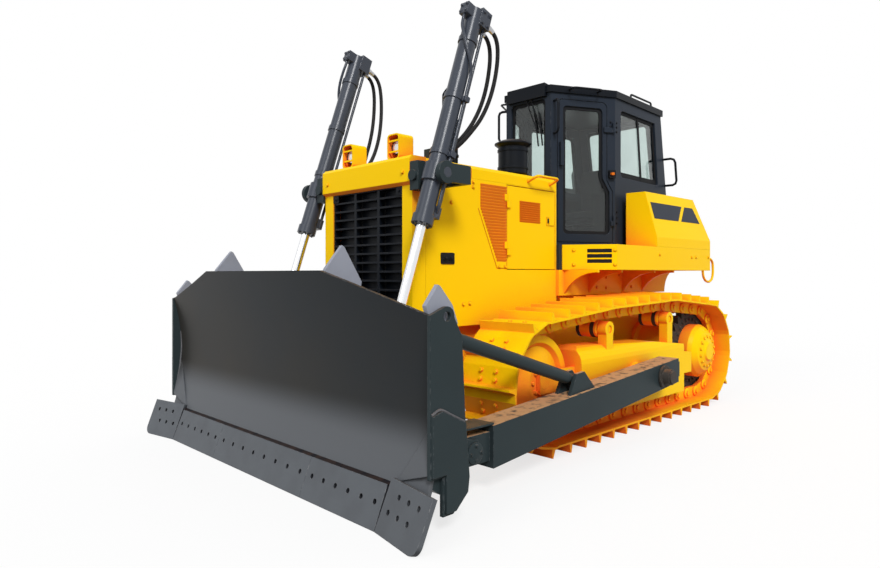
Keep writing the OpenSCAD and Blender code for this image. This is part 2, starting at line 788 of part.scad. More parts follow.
screen_side = 70;
screen_low_z = 2420;
window_top_z = cab_top_z - 55;
quarter_side = 125;
quarter_w = 920;
quarter_low_z = 2500;
quarter_top_z = cab_top_z - 110;
quarter_lean = 0.125;
rear_side = 150;
rear_low_z = 2420;

// Opening of the side window, with its rear edge leaning like the rear wall
module quarter_window(g, t) {
    u1 = quarter_side + quarter_w - g;
    h = quarter_top_z - quarter_low_z;
    intersection() {
        translate([quarter_side + g, 0, quarter_low_z + g])
            round_plate(quarter_w - 2 * g, h - 2 * g, t, pane_r);
        translate([0, -5, 0])
            plate([[0, quarter_low_z - 10], [u1, quarter_low_z - 10],
                [u1 - quarter_lean * (h + 20), quarter_top_z + 10],
                [0, quarter_top_z + 10]], t + 10);
    }
}

// Side wall behind the door
module quarter_wall() {
    intersection() {
        translate([0, 0, deck_z])
            linear_extrude(cab_top_z - deck_z)
                polygon([cab_o[2], side_end_o, side_end_i, cab_i[2]]);
        slab_y([[cab_front_d, deck_z], [cab_foot_d, deck_z], [cab_foot_d, cab_waist_z], [cab_rear_d, cab_top_z],
            [cab_front_d, cab_top_z]], 0, cab_mid_half_w + 100);
    }
}

// Layer of the leaning rear wall between two depths below its face
module rear_layer(t0, t1) {
    intersection() {
        slab_y([[cab_foot_d - t0, deck_z], [cab_foot_d - t0, cab_waist_z], [cab_rear_d - t0, cab_top_z],
            [cab_rear_d - t1, cab_top_z], [cab_foot_d - t1, cab_waist_z], [cab_foot_d - t1, deck_z]],
            -cab_mid_half_w, cab_mid_half_w);
        translate([0, 0, deck_z - 10])
            linear_extrude(cab_top_z - deck_z + 20)
                polygon([cab_i[2], side_end_i, [side_end_i.x, -side_end_i.y], cab_i[5]]);
    }
}

// Opening of the rear window, cut straight through from the front
module rear_window(g) {
    half = cab_rear_half_w - rear_side - g;
    translate([fx(cab_mid_d), -half, rear_low_z + g])
        rotate([0, 0, 90])
            round_plate(2 * half, window_top_z - rear_low_z - 2 * g, cab_foot_d - cab_mid_d + 100, pane_r);
}

module cab_front() {
    color(charcoal)
        difference() {
            cab_slab(0, deck_z, cab_top_z);
            window_cut(0, screen_side, wall_l(0) - screen_side, screen_low_z, window_top_z);
        }
}

module cab_side_left() {
    color(charcoal) {
        difference() {
            cab_slab(1, deck_z, cab_top_z);
            at_wall(1)
                translate([0, -20, 0])
                    plate(door_outline(0), cab_wall + 60);
        }
        difference() {
            quarter_wall();
            at_wall(2)
                translate([0, -20, 0])
                    quarter_window(0, cab_wall + 60);
        }
        door_knuckles(1);
    }
}

module cab_side_right() {
    mirror([0, 1, 0])
        cab_side_left();
}

module cab_rear() {
    color(charcoal)
        difference() {
            rear_layer(0, cab_wall);
            rear_window(0);
        }
}

roof_over = 20;
roof_t = 72;
roof_crown = 15;
visor_half_w = 252;
module cab_roof() {
    color(charcoal) {
        translate([0, 0, cab_top_z])
            linear_extrude(roof_t)
                polygon(inset(roof_o, -roof_over));
        translate([0, 0, cab_top_z + roof_t])
            linear_extrude(roof_crown)
                polygon(inset(roof_o, 60));
        slab_y([[cab_front_d - 43, cab_top_z - 39], [cab_front_d - 43, cab_top_z + 99],
            [cab_front_d + 200, cab_top_z + roof_t], [cab_front_d, cab_top_z + roof_t],
            [cab_front_d, cab_top_z - 39]],
            -visor_half_w, visor_half_w);
    }
}

module cab_glass() {
    color(glass) {
        window_pane(0, screen_side, wall_l(0) - screen_side, screen_low_z, window_top_z);
        intersection() {
            rear_layer(cab_wall / 2, cab_wall / 2 + glass_t);
            rear_window(seat_gap);
        }
        both_sides()
            at_wall(2)
                translate([0, cab_wall / 2, 0])
                    quarter_window(seat_gap, glass_t);
    }
}

door_knuckle_h = 55;
// Height of each hinge and place along the wall where its strap meets the door
door_hinges = [[door_sill_z + 180, door_u1 - door_gap - 28], [door_head_z - 320, door_top_u1 - door_gap - 40]];

// Fixed half of the door's hinges
module door_knuckles(k) {
    at_wall(k)
        for (h = door_hinges)
            translate([door_u1, -door_hinge_out, h[0] + door_knuckle_h + pin_gap]) {
                cylinder(r = door_hinge_r, h = door_knuckle_h);
                cube([25, door_hinge_out + 5, door_knuckle_h]);
            }
}

module cab_door() {
    grip_z = 2575;
    grip_h = 245;
    color(charcoal)
        at_wall(1) {
            difference() {
                plate(door_outline(door_gap), door_t);
                translate([0, -20, 0])
                    plate(door_window(0), door_t + 60);
            }
            for (h = door_hinges) {
                translate([door_u1, -door_hinge_out, h[0]])
                    cylinder(r = door_hinge_r, h = door_knuckle_h);
                translate([h[1], -door_hinge_out, h[0]])
                    cube([door_u1 - h[1], door_hinge_out - 6, door_knuckle_h]);
                translate([h[1], -8, h[0]])
                    cube([24, 13, door_knuckle_h]);
            }
            translate([door_u0 + 20, -43, grip_z])
                difference() {
                    cube([36, 48, grip_h]);
                    translate([-10, 14, 32])
                        cube([60, 29, grip_h - 64]);
                }
        }
}

module cab_door_glass() {
    color(glass)
        at_wall(1)
            translate([0, door_t / 2, 0])
                plate(door_window(seat_gap), glass_t);
}

module door_left() {
    cab_door();
}

module door_glass_left() {
    cab_door_glass();
}

module door_right() {
    mirror([0, 1, 0])
        cab_door();
}

module door_glass_right() {
    mirror([0, 1, 0])
        cab_door_glass();
}

seat_d = 4420;
seat_low_z = deck_z + 330;
module seat_base() {
    color(black) {
        block(seat_d - 230, seat_d + 230, -190, 190, deck_z, deck_z + 60);
        block(seat_d - 150, seat_d + 150, -140, 140, deck_z + 60, seat_low_z - 40);
        block(seat_d - 250, seat_d + 250, -230, 230, seat_low_z - 40, seat_low_z);
        block(seat_d + 225, seat_d + 255, -60, 60, seat_low_z, seat_low_z + 500);
    }
}

module seat_cushions() {
    color(charcoal) {
        block(seat_d - 270, seat_d + 130, -240, 240, seat_low_z + seat_gap, seat_low_z + 130);
        slab_y([[seat_d + 135, seat_low_z + 40], [seat_d + 225 - seat_gap, seat_low_z + 40],
            [seat_d + 225 - seat_gap, seat_low_z + 640], [seat_d + 155, seat_low_z + 640]], -230, 230);
    }
}

module control_consoles() {
    lever_d = seat_d - 270;
    lever_y = 340;
    console_z = deck_z + 620;
    dash_d = cab_front_d + cab_wall;
    color(black) {
        both_sides() {
            block(seat_d - 340, seat_d + 180, 262, 420, deck_z, console_z);
            translate([fx(lever_d), lever_y, console_z])
                rotate_extrude()
                    polygon(concat([[0, 0], [14, 0], [14, 130], [22, 135], [22, 155]],
                        [for (p = arc([0, 178], 34, -45, 90)) [max(p.x, 0), p.y]]));
        }
        slab_y([[dash_d, deck_z], [dash_d, 2400], [dash_d + 110, 2380], [dash_d + 210, 2180], [dash_d + 130, 2060],
            [dash_d + 130, deck_z]], -210, 210);
    }
}

module grab_rails() {
    r = 14;
    roof_r = 11;
    brim_z = cab_top_z + roof_t;
    color(black)
        both_sides() {
            at_wall(2)
                d_rail([1178, 0, 2829], [1230, 0, 2519], [0, -150, 0], 50, r, [0, 1, 0]);
            at_wall(1)
                d_rail([40, 0, 3245], [40, 0, 2910], [0, -95, 0], 40, r, [0, 1, 0]);
            at_wall(1)
                d_rail([207, -roof_over, brim_z - 37], [538, -roof_over, brim_z - 37], [0, -95, 0], 30, roof_r,
                    [0, 1, 0]);
            at_wall(2)
                d_rail([356, 0, brim_z], [855, 0, brim_z], [0, 0, 40], 20, roof_r, [0, 0, 1]);
        }
}

module yellow_handles() {
    r = 13;
    hood_d = hood_rear_d - 440;
    foot_z = hood_z - 65;
    hook_y = fender_half_w - 65;
    color(yellow)
        both_sides() {
            d_rail([fx(hood_d), hood_half_w, foot_z], [fx(hood_d + 330), hood_half_w, foot_z], [0, 110, 45], 35, r,
                [0, 1, 0]);
            d_rail([fx(fender_rear_d), hook_y, 1710], [fx(fender_rear_d), hook_y, 1550], [-110, 0, 0], 30, r,
                [1, 0, 0]);
        }
}

// Fork on the radiator guard's side that the barrel's trunnions turn in
module lift_yoke() {
    back = barrel_r + 130;
    difference() {
        union() {
            block(yoke_d - 75, yoke_d + 75, hood_half_w, yoke_in_y, yoke_z - 110, yoke_z + 110);
            translate([fx(yoke_d - 75), (hood_half_w + yoke_in_y) / 2, yoke_z])
                rotate([0, 90, 0])
                    cylinder(r = 42, h = 24);
            shaft(yoke_d, yoke_z, 85, yoke_out_y, yoke_out_y + yoke_ear_t);
            block(yoke_d - 20, yoke_d + back + 45, yoke_out_y, yoke_out_y + yoke_ear_t, yoke_z - 70, yoke_z + 70);
            block(yoke_d + back, yoke_d + back + 45, hood_half_w, yoke_out_y + yoke_ear_t, yoke_z - 70, yoke_z + 70);
            block(yoke_d + 70, yoke_d + back + 45, hood_half_w, yoke_in_y, yoke_z - 70, yoke_z + 70);
        }
        shaft(yoke_d, yoke_z, yoke_pin_r + pin_gap, yoke_in_y - yoke_ear_t, yoke_out_y + 200);
    }
}

module lift_yokes() {
    color(charcoal)
        both_sides() {
            lift_yoke();
            block(hood_front_d + 90, hood_front_d + 160, core_half_w, hood_half_w - 24, hood_z, hood_z + 86);
        }
}

// Shoes and link rails as one closed loop
module track() {
    outer = [for (i = [0:shoe_count - 1]) let (s = (i + 0.5) * shoe_step)
        for (p = shoe_profile) off_chain(s, p.x, p.y)];
    inner = [for (i = [0:shoe_count - 1]) let (s = (i + 0.5) * shoe_step)
        for (u = [-half_plate, half_plate]) off_chain(s, u, link_out)];
    rail_out = [for (i = [0:shoe_count - 1]) let (s = (i + 0.5) * shoe_step)
        for (u = [-half_plate, half_plate]) off_chain(s, u, link_out + shoe_t / 2)];
    rail_in = [for (i = [0:shoe_count - 1]) let (s = (i + 0.5) * shoe_step)
        for (u = [-half_link, half_link]) off_chain(s, u, -link_in)];
    color(yellow)
        translate([0, track_y, 0])
            rotate([90, 0, 0]) {
                translate([0, 0, -shoe_w / 2])
                    linear_extrude(shoe_w)
                        difference() {
                            polygon(outer);
                            polygon(inner);
                        }
                for (side = [-1, 1])
                    translate([0, 0, side * link_gauge / 2 - link_w / 2])
                        linear_extrude(link_w)
                            difference() {
                                polygon(rail_out);
                                polygon(rail_in);
                            }
            }
}

module track_left() {
    track();
}

module track_right() {
    mirror([0, 1, 0])
        track();
}

frame_front_d = idler_d + 420;
frame_rear_d = sprocket_d - sprocket_pitch_r - 80;
frame_in_y = track_y - 150;
frame_out_y = track_y + 230;
frame_low_z = roller_z + roller_r + 15;
frame_top_z = 835;
frame_round = 150;
module track_frame() {
    section = concat([[frame_in_y, frame_low_z]],
        arc([frame_in_y + frame_round, frame_top_z - frame_round], frame_round, 180, 90),
        arc([frame_out_y - frame_round, frame_top_z - frame_round], frame_round, 90, 0),
        [[frame_out_y, frame_low_z]]);
    color(yellow)
        difference() {
            union() {
                intersection() {
                    slab_y([[frame_front_d, frame_low_z], [frame_front_d, frame_top_z - 35],
                        [frame_front_d + 90, frame_top_z], [frame_rear_d - 550, frame_top_z - 55],
                        [frame_rear_d, frame_top_z - 115], [frame_rear_d, frame_low_z]], frame_in_y, frame_out_y);
                    slab_x(section, frame_front_d - 10, frame_rear_d + 10);
                }
                slab_y([[frame_rear_d - 20, frame_low_z], [frame_rear_d - 20, frame_top_z - 190],
                    [frame_rear_d + 170, frame_top_z - 215], [frame_rear_d + 170, frame_low_z]], track_y + 110,
                    frame_out_y);
                for (y = [frame_out_y - 40, frame_in_y])
                    block(frame_front_d, frame_rear_d, y, y + 40, rail_z + 30, frame_low_z);
                for (y = [frame_in_y, track_y + 125])
                    block(idler_d - 60, frame_front_d, y, y + 40, idler_z - 90, idler_z + 90);
                for (c = [[carrier_front_d, carrier_front_z], [carrier_rear_d, carrier_rear_z]])
                    carrier_post(c.x, c.y - link_in - carrier_r);
                shaft(trunnion_d, trunnion_z, trunnion_r + 30, frame_out_y - 5, track_out_y);
            }
            shaft(idler_d, idler_z, idler_pin_r + pin_gap, frame_in_y - 100, frame_out_y + 100);
        }
}

// Post with a clamp that holds a carrier roller's shaft
carrier_pin_r = 34;
carrier_half_w = 105;
module carrier_post(d, z) {
    y0 = track_y + carrier_half_w + 5;
    difference() {
        union() {
            shaft(d, z, 72, y0, y0 + 90);
            block(d - 55, d + 55, y0, y0 + 90, 700, z);
        }
        shaft(d, z, carrier_pin_r + pin_gap, y0 - 20, y0 + 200);
    }
}

module track_frame_left() {
    track_frame();
}

module track_frame_right() {
    mirror([0, 1, 0])
        track_frame();
}

idler_pin_r = 55;
module front_idlers() {
    rim = idler_pitch_r - link_in - 2;
    groove = link_gauge / 2 - link_w / 2 - 5;
    color(yellow)
        both_sides()
            translate([fx(idler_d), track_y, idler_z])
                rotate([90, 0, 0])
                    rotate_extrude($fn = 72)
                        polygon([[0, -165], [idler_pin_r, -165], [idler_pin_r, -122], [150, -122], [rim - 90, -70],
                            [rim - 60, -100], [rim, -100], [rim, -groove], [rim + 22, -groove], [rim + 22, groove],
                            [rim, groove], [rim, 100], [rim - 60, 100], [rim - 90, 70], [150, 105],
                            [idler_pin_r, 105], [idler_pin_r, 150], [0, 150]]);
}

sprocket_t = 70;
sprocket_teeth = 2 * sprocket_links;
module drive_sprockets() {
    root = sprocket_pitch_r - link_in;
    tip = sprocket_pitch_r + 18;
    step = 360 / sprocket_teeth;
    color(steel)
        both_sides()
            translate([fx(sprocket_d), track_y + sprocket_t / 2, sprocket_z])
                rotate([90, 0, 0])
                    difference() {
                        linear_extrude(sprocket_t)
                            polygon([for (i = [0:sprocket_teeth - 1])
                                for (p = [[-0.42, root], [-0.14, tip], [0.14, tip], [0.42, root]])
                                    circle_pt([0, 0], p.y, (i + p.x) * step)]);
                        translate([0, 0, -10])
                            cylinder(r = 200, h = sprocket_t + 20);
                    }
}

drive_r = 290;
module final_drives() {
    color(yellow)
        both_sides()
            translate([fx(sprocket_d), hull_half_w, sprocket_z])
                rotate([-90, 0, 0])
                    rotate_extrude($fn = 72) {
                        y0 = track_y - sprocket_t / 2 - hull_half_w;
                        y1 = track_y + sprocket_t / 2 - hull_half_w;
                        polygon([[0, 0], [330, 0], [330, 40], [300, 70], [300, y0 - 60], [330, y0 - 40], [330, y0],
                            [200 - pin_gap, y0], [200 - pin_gap, y1], [drive_r, y1], [drive_r, y1 + 110],
                            [drive_r - 25, y1 + 150], [drive_r - 80, y1 + 195], [110, y1 + 222], [90, y1 + 236],
                            [0, y1 + 236]]);
                    }
}

roller_gap = (frame_rear_d - frame_front_d - 2 * roller_r - 40) / (roller_count - 1);
module track_rollers() {
    groove = link_gauge / 2 - link_w / 2 - 5;
    r = roller_r - seat_gap;
    color(charcoal)
        both_sides()
            for (i = [0:roller_count - 1])
                translate([fx(frame_front_d + roller_r + 20 + i * roller_gap), track_y, roller_z])
                    rotate([90, 0, 0])
                        rotate_extrude()
                            polygon([[0, 40 - frame_out_y + track_y], [32, 40 - frame_out_y + track_y], [32, -110],
                                [r, -110], [r, -groove], [r - 14, -groove], [r - 14, groove], [r, groove], [r, 105],
                                [32, 105], [32, track_y - frame_in_y - 40], [0, track_y - frame_in_y - 40]]);
}

module carrier_rollers() {
    color(charcoal)
        both_sides()
            for (c = [[carrier_front_d, carrier_front_z], [carrier_rear_d, carrier_rear_z]])
                translate([fx(c.x), track_y, c.y - link_in - carrier_r])
                    rotate([-90, 0, 0])
                        rotate_extrude()
                            polygon([[0, -carrier_half_w], [70, -carrier_half_w], [carrier_r - seat_gap - 2, -95],
                                [carrier_r - seat_gap - 2, 95], [70, carrier_half_w], [carrier_pin_r, carrier_half_w],
                                [carrier_pin_r, carrier_half_w + 85], [0, carrier_half_w + 85]]);
}

module cross_shafts() {
    cap_r = 70;
    color(charcoal) {
        both_sides() {
            shaft(frame_rear_d - 180, 590, 90, hull_half_w, frame_in_y);
            shaft(trunnion_d, trunnion_z, trunnion_r, track_out_y, arm_out_y + 5);
            shaft(trunnion_d, trunnion_z, trunnion_r + 25, arm_out_y + 5, arm_out_y + 25);
            shaft(trunnion_d, trunnion_z, cap_r, arm_out_y + 25, arm_out_y + 85);
            shaft(trunnion_d, trunnion_z, cap_r - 12, arm_out_y + 85, arm_out_y + 100);
        }
        block(frame_front_d + 120, frame_front_d + 300, -frame_in_y, frame_in_y, hull_low_z - 90, hull_low_z);
    }
}

drawbar_low_z = guard_low_z + 20;
drawbar_h = 220;
jaw_t = 55;
module drawbar() {
    color(charcoal)
        translate([0, 0, drawbar_low_z])
            difference() {
                union() {
                    block(hull_rear_d, hitch_d - 270, -110, 110, 0, drawbar_h);
                    block(hitch_d - 400, hitch_d, -hitch_jaw_r, hitch_jaw_r, 0, drawbar_h);
                    translate([fx(hitch_d), 0, 0])
                        cylinder(r = hitch_jaw_r, h = drawbar_h);
                }
                block(hitch_d - 220, hitch_d + 200, -200, 200, jaw_t, drawbar_h - jaw_t);
                translate([fx(hitch_d), 0, -10])
                    cylinder(r = hitch_r, h = drawbar_h + 20);
            }
}

// Frame of the straight cutting edges: third axis up the leaning face, first axis forward
module at_edge() {
    translate([fx(edge_d), 0, 0])
        rotate([0, -edge_slant, 0])
            children();
}

module blade_cylinder(r) {
    shaft(blade_c_d, blade_c_z, r, -blade_half_w - 100, blade_half_w + 100, $fn = 200);
}

module moldboard() {
    color(charcoal) {
        intersection() {
            difference() {
                blade_cylinder(blade_back_r);
                blade_cylinder(blade_r);
            }
            slab_x([[-blade_plate_half_w, edge_top_z], [-blade_plate_half_w, blade_end_h],
                [-blade_top_half_w, blade_h], [blade_top_half_w, blade_h], [blade_plate_half_w, blade_end_h],
                [blade_plate_half_w, edge_top_z]], 0, 900);
        }
        intersection() {
            at_edge()
                translate([-edge_t - blade_t, -blade_plate_half_w, 70])
                    cube([blade_t, 2 * blade_plate_half_w, edge_l - 20]);
            block(0, 900, -blade_half_w, blade_half_w, 20, edge_top_z + 12);
        }
    }
}

bolt_r = 16;
module cutting_edges() {
    mid = 0.448 * edge_half_w;
    color(steel)
        intersection() {
            at_edge()
                for (seg = [[-edge_half_w, -mid, 6], [-mid, mid, 8], [mid, edge_half_w, 6]])
                    difference() {
                        translate([-edge_t, seg[0] + 1, -20])
                            cube([edge_t, seg[1] - seg[0] - 2, edge_l + 15]);
                        for (i = [0:seg[2] - 1])
                            translate([-edge_t - 5, seg[0] + (i + 0.5) * (seg[1] - seg[0]) / seg[2], 0.56 * edge_l])
                                rotate([0, 90, 0])
                                    cylinder(r = bolt_r, h = edge_t + 10);
                    }
            block(0, 900, -blade_half_w, blade_half_w, 0, 900);
        }
}

end_bit_h = 310;
module end_bit() {
    corner_r = 70;
    intersection() {
        translate([fx(edge_d), edge_half_w, 0])
            rotate([0, 0, -end_bit_turn])
                rotate([0, -edge_slant, 0])
                    difference() {
                        translate([seat_gap - edge_t, 2, -20])
                            cube([edge_t - seat_gap, end_bit_w - 2, end_bit_h + 20]);
                        for (i = [0:2], z = [130, 230])
                            translate([-edge_t - 5, 75 + i * 105 + (z > 200 ? 60 : 0), z])
                                rotate([0, 90, 0])
                                    cylinder(r = bolt_r, h = edge_t + 10);
                        difference() {
                            translate([-edge_t - 5, end_bit_w - corner_r, -30])
                                cube([edge_t + 10, corner_r + 5, corner_r + 30]);
                            translate([-edge_t - 10, end_bit_w - corner_r, corner_r])
                                rotate([0, 90, 0])
                                    cylinder(r = corner_r, h = edge_t + 20);
                        }
                    }
        block(-200, 900, 0, blade_half_w + 100, 0, 900);
    }
}

module end_bits() {
    color(steel)
        both_sides()
            end_bit();
}

eye = [333, 1215];
module end_plate() {
    y0 = blade_plate_half_w;
    y1 = y0 + end_plate_t;
    difference() {
        union() {
            slab_y([[205, 330], [205, blade_end_h], [300, 1262], [366, 1250], [451, 1096], [476, 650], [500, 300],
                [490, 200], [380, 110], [300, 110], [300, 330]], y0, y1);
            shaft(eye.x, eye.y, 56, y0, y1);
            slab_y([[212, 345], [212, 678], [279, 699], [463, 608], [492, 300], [480, 215], [385, 130], [310, 130],
                [310, 345]], y1, y1 + 20);
        }
        shaft(eye.x, eye.y, lift_eye_r, y0 - 50, y1 + 50);
    }
}

module end_plates() {
    color(charcoal)
        both_sides()
            end_plate();
}

// Plate in the machine's long plane with its front cut to the curve of the blade's back
module rib(pts, y, t) {
    difference() {
        slab_y(pts, y - t / 2, y + t / 2);
        blade_cylinder(blade_back_r + seat_gap);
    }
}

module blade_frame() {
    beam = [[200, 300], [200, 480], [470, 480], [500, 300], [440, 230], [300, 230]];
    top_beam = [[150, 1040], [150, 1160], [400, 1160], [420, 1040]];
    rib_pitch = 550;
    color(charcoal) {
        rib(beam, 0, 2 * blade_plate_half_w - 1);
        rib(top_beam, 0, 2 * blade_plate_half_w - 1);
        for (k = [-2:2])
            rib([[150, 470], [150, 1050], [410, 1050], [460, 470]], k * rib_pitch, 25);
        both_sides() {
            for (side = [-1, 1]) {
                y = lift_y + side * (rod_eye_w / 2 + lift_ear_gap + lift_ear_t / 2);
                rib([[200, 470], [200, 1050], [400, 1050], [620, 800], [740, 720], [740, 660], [680, 610],
                    [460, 470]],
                    y, lift_ear_t);
                ya = arm_y + side * 90;
                rib([[250, 240], [250, 470], [480, 470], [830, 400], [880, 330], [840, 250], [480, 240]], ya, 40);
                yb = arm_y + side * (brace_eye_w / 2 + 20);
                rib([[250, 1050], [250, 1200], [470, 1185], [545, 1120], [480, 1055]], yb, 30);
            }
            shaft(rod_eye_d, rod_eye_z, lift_pin_r, lift_y - 75, lift_y + 75);
            shaft(arm_pin_d, arm_pin_z, arm_pin_r, arm_y - 100, arm_y + 100);
            shaft(brace_top_d, brace_top_z, brace_pin_r, arm_y - 70, arm_y + 70);
        }
    }
}

module blade_fins() {
    inner_y = lift_y + 5;
    outer_y = blade_plate_half_w - 42;
    color(pale_steel)
        both_sides() {
            rib([[160, 1165], [160, 1440], [180, 1487], [305, 1638], [322, 1628], [462, 1398], [420, 1165]],
                inner_y, 30);
            difference() {
                rib([[170, 1165], [170, 1215], [200, 1250], [313, 1391], [330, 1382], [425, 1275], [470, 1165]],
                    outer_y,
                    30);
                shaft(eye.x, eye.y, lift_eye_r + 17, outer_y - 30, outer_y + 30);
            }
        }
}

module push_arm() {
    lug_w = 130;
    difference() {
        union() {
            slab_y([[arm_front_d, arm_front_low_z], [arm_front_d, arm_front_top_z], [arm_rear_d, arm_rear_top_z],
                [arm_rear_d, arm_rear_low_z]], arm_in_y, arm_out_y);
            shaft(arm_pin_d, arm_pin_z, 95, arm_y - lug_w / 2, arm_y + lug_w / 2);
            block(arm_pin_d, arm_front_d, arm_y - lug_w / 2, arm_y + lug_w / 2, arm_pin_z - 95, arm_pin_z + 95);
            block(arm_rear_d, arm_rear_d + 80, arm_in_y + 30, arm_out_y - 30,
                arm_rear_low_z + 40, arm_rear_top_z - 40);
            for (side = [-1, 1])
                slab_y([[brace_low_d - 150, arm_top(brace_low_d - 150) - 5], [brace_low_d - 60, brace_low_z + 60],
                    [brace_low_d + 40, brace_low_z + 70], [brace_low_d + 190, arm_top(brace_low_d + 190) - 5]],
                    arm_y + side * (brace_eye_w / 2 + 17) - 15, arm_y + side * (brace_eye_w / 2 + 17) + 15);
            shaft(brace_low_d, brace_low_z, brace_pin_r, arm_y - 70, arm_y + 70);
        }
        shaft(arm_pin_d, arm_pin_z, arm_pin_r + pin_gap, 0, blade_half_w);
        shaft(trunnion_d, trunnion_z, trunnion_r + pin_gap, 0, blade_half_w);
    }
}

module push_arms() {
    color(charcoal)
        both_sides()
            push_arm();
}

module brace_tube() {
    a = [fx(brace_low_d), arm_y, brace_low_z];
    b = [fx(brace_top_d), arm_y, brace_top_z];
    eye_r = 52;
    difference() {
        union() {
            bar(a, b, brace_r - 14);
            bar(a + (b - a) * 0.07, a + (b - a) * 0.9, brace_r);
            shaft(brace_low_d, brace_low_z, eye_r, arm_y - brace_eye_w / 2, arm_y + brace_eye_w / 2);
            shaft(brace_top_d, brace_top_z, eye_r, arm_y - brace_eye_w / 2, arm_y + brace_eye_w / 2);
        }
        shaft(brace_low_d, brace_low_z, brace_pin_r + pin_gap, 0, blade_half_w);
        shaft(brace_top_d, brace_top_z, brace_pin_r + pin_gap, 0, blade_half_w);
    }
}

module brace_tubes() {
    color(charcoal)
        both_sides()
            brace_tube();
}

// Frame of the left lift cylinder: origin on the trunnion, third axis up the barrel
module at_cylinder() {
    translate([fx(yoke_d), lift_y, yoke_z])
        rotate([0, -lift_slant, 0])
            children();
}

module lift_cylinder() {
    color(charcoal)
        at_cylinder()
            difference() {
                union() {
                    translate([0, 0, -barrel_down])
                        cylinder(r = barrel_r, h = barrel_up + barrel_down);
                    translate([0, 0, -barrel_down])
                        cylinder(r = barrel_r + 12, h = gland_l);
                    translate([0, 0, -70])
                        cylinder(r = barrel_r + 20, h = 140);
                    translate([0, barrel_r + 25 + yoke_ear_gap + yoke_ear_t, 0])
                        rotate([90, 0, 0])
                            cylinder(r = yoke_pin_r, h = 2 * (barrel_r + 25 + yoke_ear_gap + yoke_ear_t));
                    translate([-barrel_r - 45, -80, barrel_up - 130])
                        cube([110, 160, 150]);
                    translate([-barrel_r - 45, -45, -barrel_down + 80])
                        cube([60, 90, 90]);
                    for (y = [-36, 36])
                        translate([-barrel_r - 22, y, -barrel_down + 90])
                            cylinder(r = 13, h = barrel_up + barrel_down - 150);
                }
                translate([0, 0, -barrel_down + gland_l])
                    cylinder(r = barrel_bore_r, h = barrel_up + barrel_down - gland_l - 40);
                translate([0, 0, -barrel_down - 10])
                    cylinder(r = rod_r + pin_gap, h = gland_l + 20);
            }
}

module lift_cylinder_left() {
    lift_cylinder();
}

module lift_cylinder_right() {
    mirror([0, 1, 0])
        lift_cylinder();
}

module lift_rod() {
    color(chrome)
        at_cylinder()
            difference() {
                union() {
                    translate([0, 0, -lift_l])
                        cylinder(r = rod_r, h = rod_l);
                    translate([0, 0, rod_l - lift_l - piston_l])
                        cylinder(r = barrel_bore_r - seat_gap, h = piston_l);
                    translate([0, rod_eye_w / 2, -lift_l])
                        rotate([90, 0, 0])
                            cylinder(r = rod_eye_r + 28, h = rod_eye_w);
                }
                translate([0, 200, -lift_l])
                    rotate([90, 0, 0])
                        cylinder(r = rod_eye_r, h = 400);
            }
}

module lift_rod_left() {
    lift_rod();
}

module lift_rod_right() {
    mirror([0, 1, 0])
        lift_rod();
}

// Round tube swept along a list of points
module hose(route) {
    pts = [for (p = route) [fx(p.x), p.y, p.z]];
    n = len(pts);
    color(black)
        skin([for (i = [0:n - 1])
            let (t = unit(pts[min(i + 1, n - 1)] - pts[max(i - 1, 0)]), a = unit(cross(t, [0, 1, 0])),
                b = cross(t, a))
                [for (k = [0:hose_sides - 1])
                    pts[i] + hose_r * (cos(360 * k / hose_sides) * a + sin(360 * k / hose_sides) * b)]]);
}

module hose_left_outer() {
    hose(hose_out_route);
}

module hose_left_inner() {
    hose(hose_in_route);
}

module hose_right_outer() {
    mirror([0, 1, 0])
        hose(hose_out_route);
}

module hose_right_inner() {
    mirror([0, 1, 0])
        hose(hose_in_route);
}

main_frame();
engine_block();
radiator_core();
radiator_guard();
radiator_grille();
hood_top();
hood_sides();
headlamp_housings();
headlamps();
exhaust_stack();
air_precleaner();
platform();
fenders();
side_tanks();
fuel_tank();
cab_front();
cab_side_left();
cab_side_right();
cab_rear();
cab_roof();
cab_glass();
seat_base();
seat_cushions();
control_consoles();
grab_rails();
yellow_handles();
lift_yokes();
track_left();
track_right();
track_frame_left();
track_frame_right();
front_idlers();
drive_sprockets();
final_drives();
track_rollers();
carrier_rollers();
cross_shafts();
drawbar();
moldboard();
cutting_edges();
end_bits();
end_plates();
blade_frame();
blade_fins();
push_arms();
brace_tubes();
lift_cylinder_left();
lift_cylinder_right();
lift_rod_left();
lift_rod_right();
door_left();
door_glass_left();
door_right();
door_glass_right();
engine_door_left();
engine_door_right();
hose_left_outer();
hose_left_inner();
hose_right_outer();
hose_right_inner();
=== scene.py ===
"""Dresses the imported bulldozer: paint, glass, rubber, hoses, cushions and small fittings, on a pale stage."""

import json

import bmesh
import bpy
import numpy as np
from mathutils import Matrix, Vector
from bpy.props import FloatProperty, FloatVectorProperty, IntProperty, PointerProperty


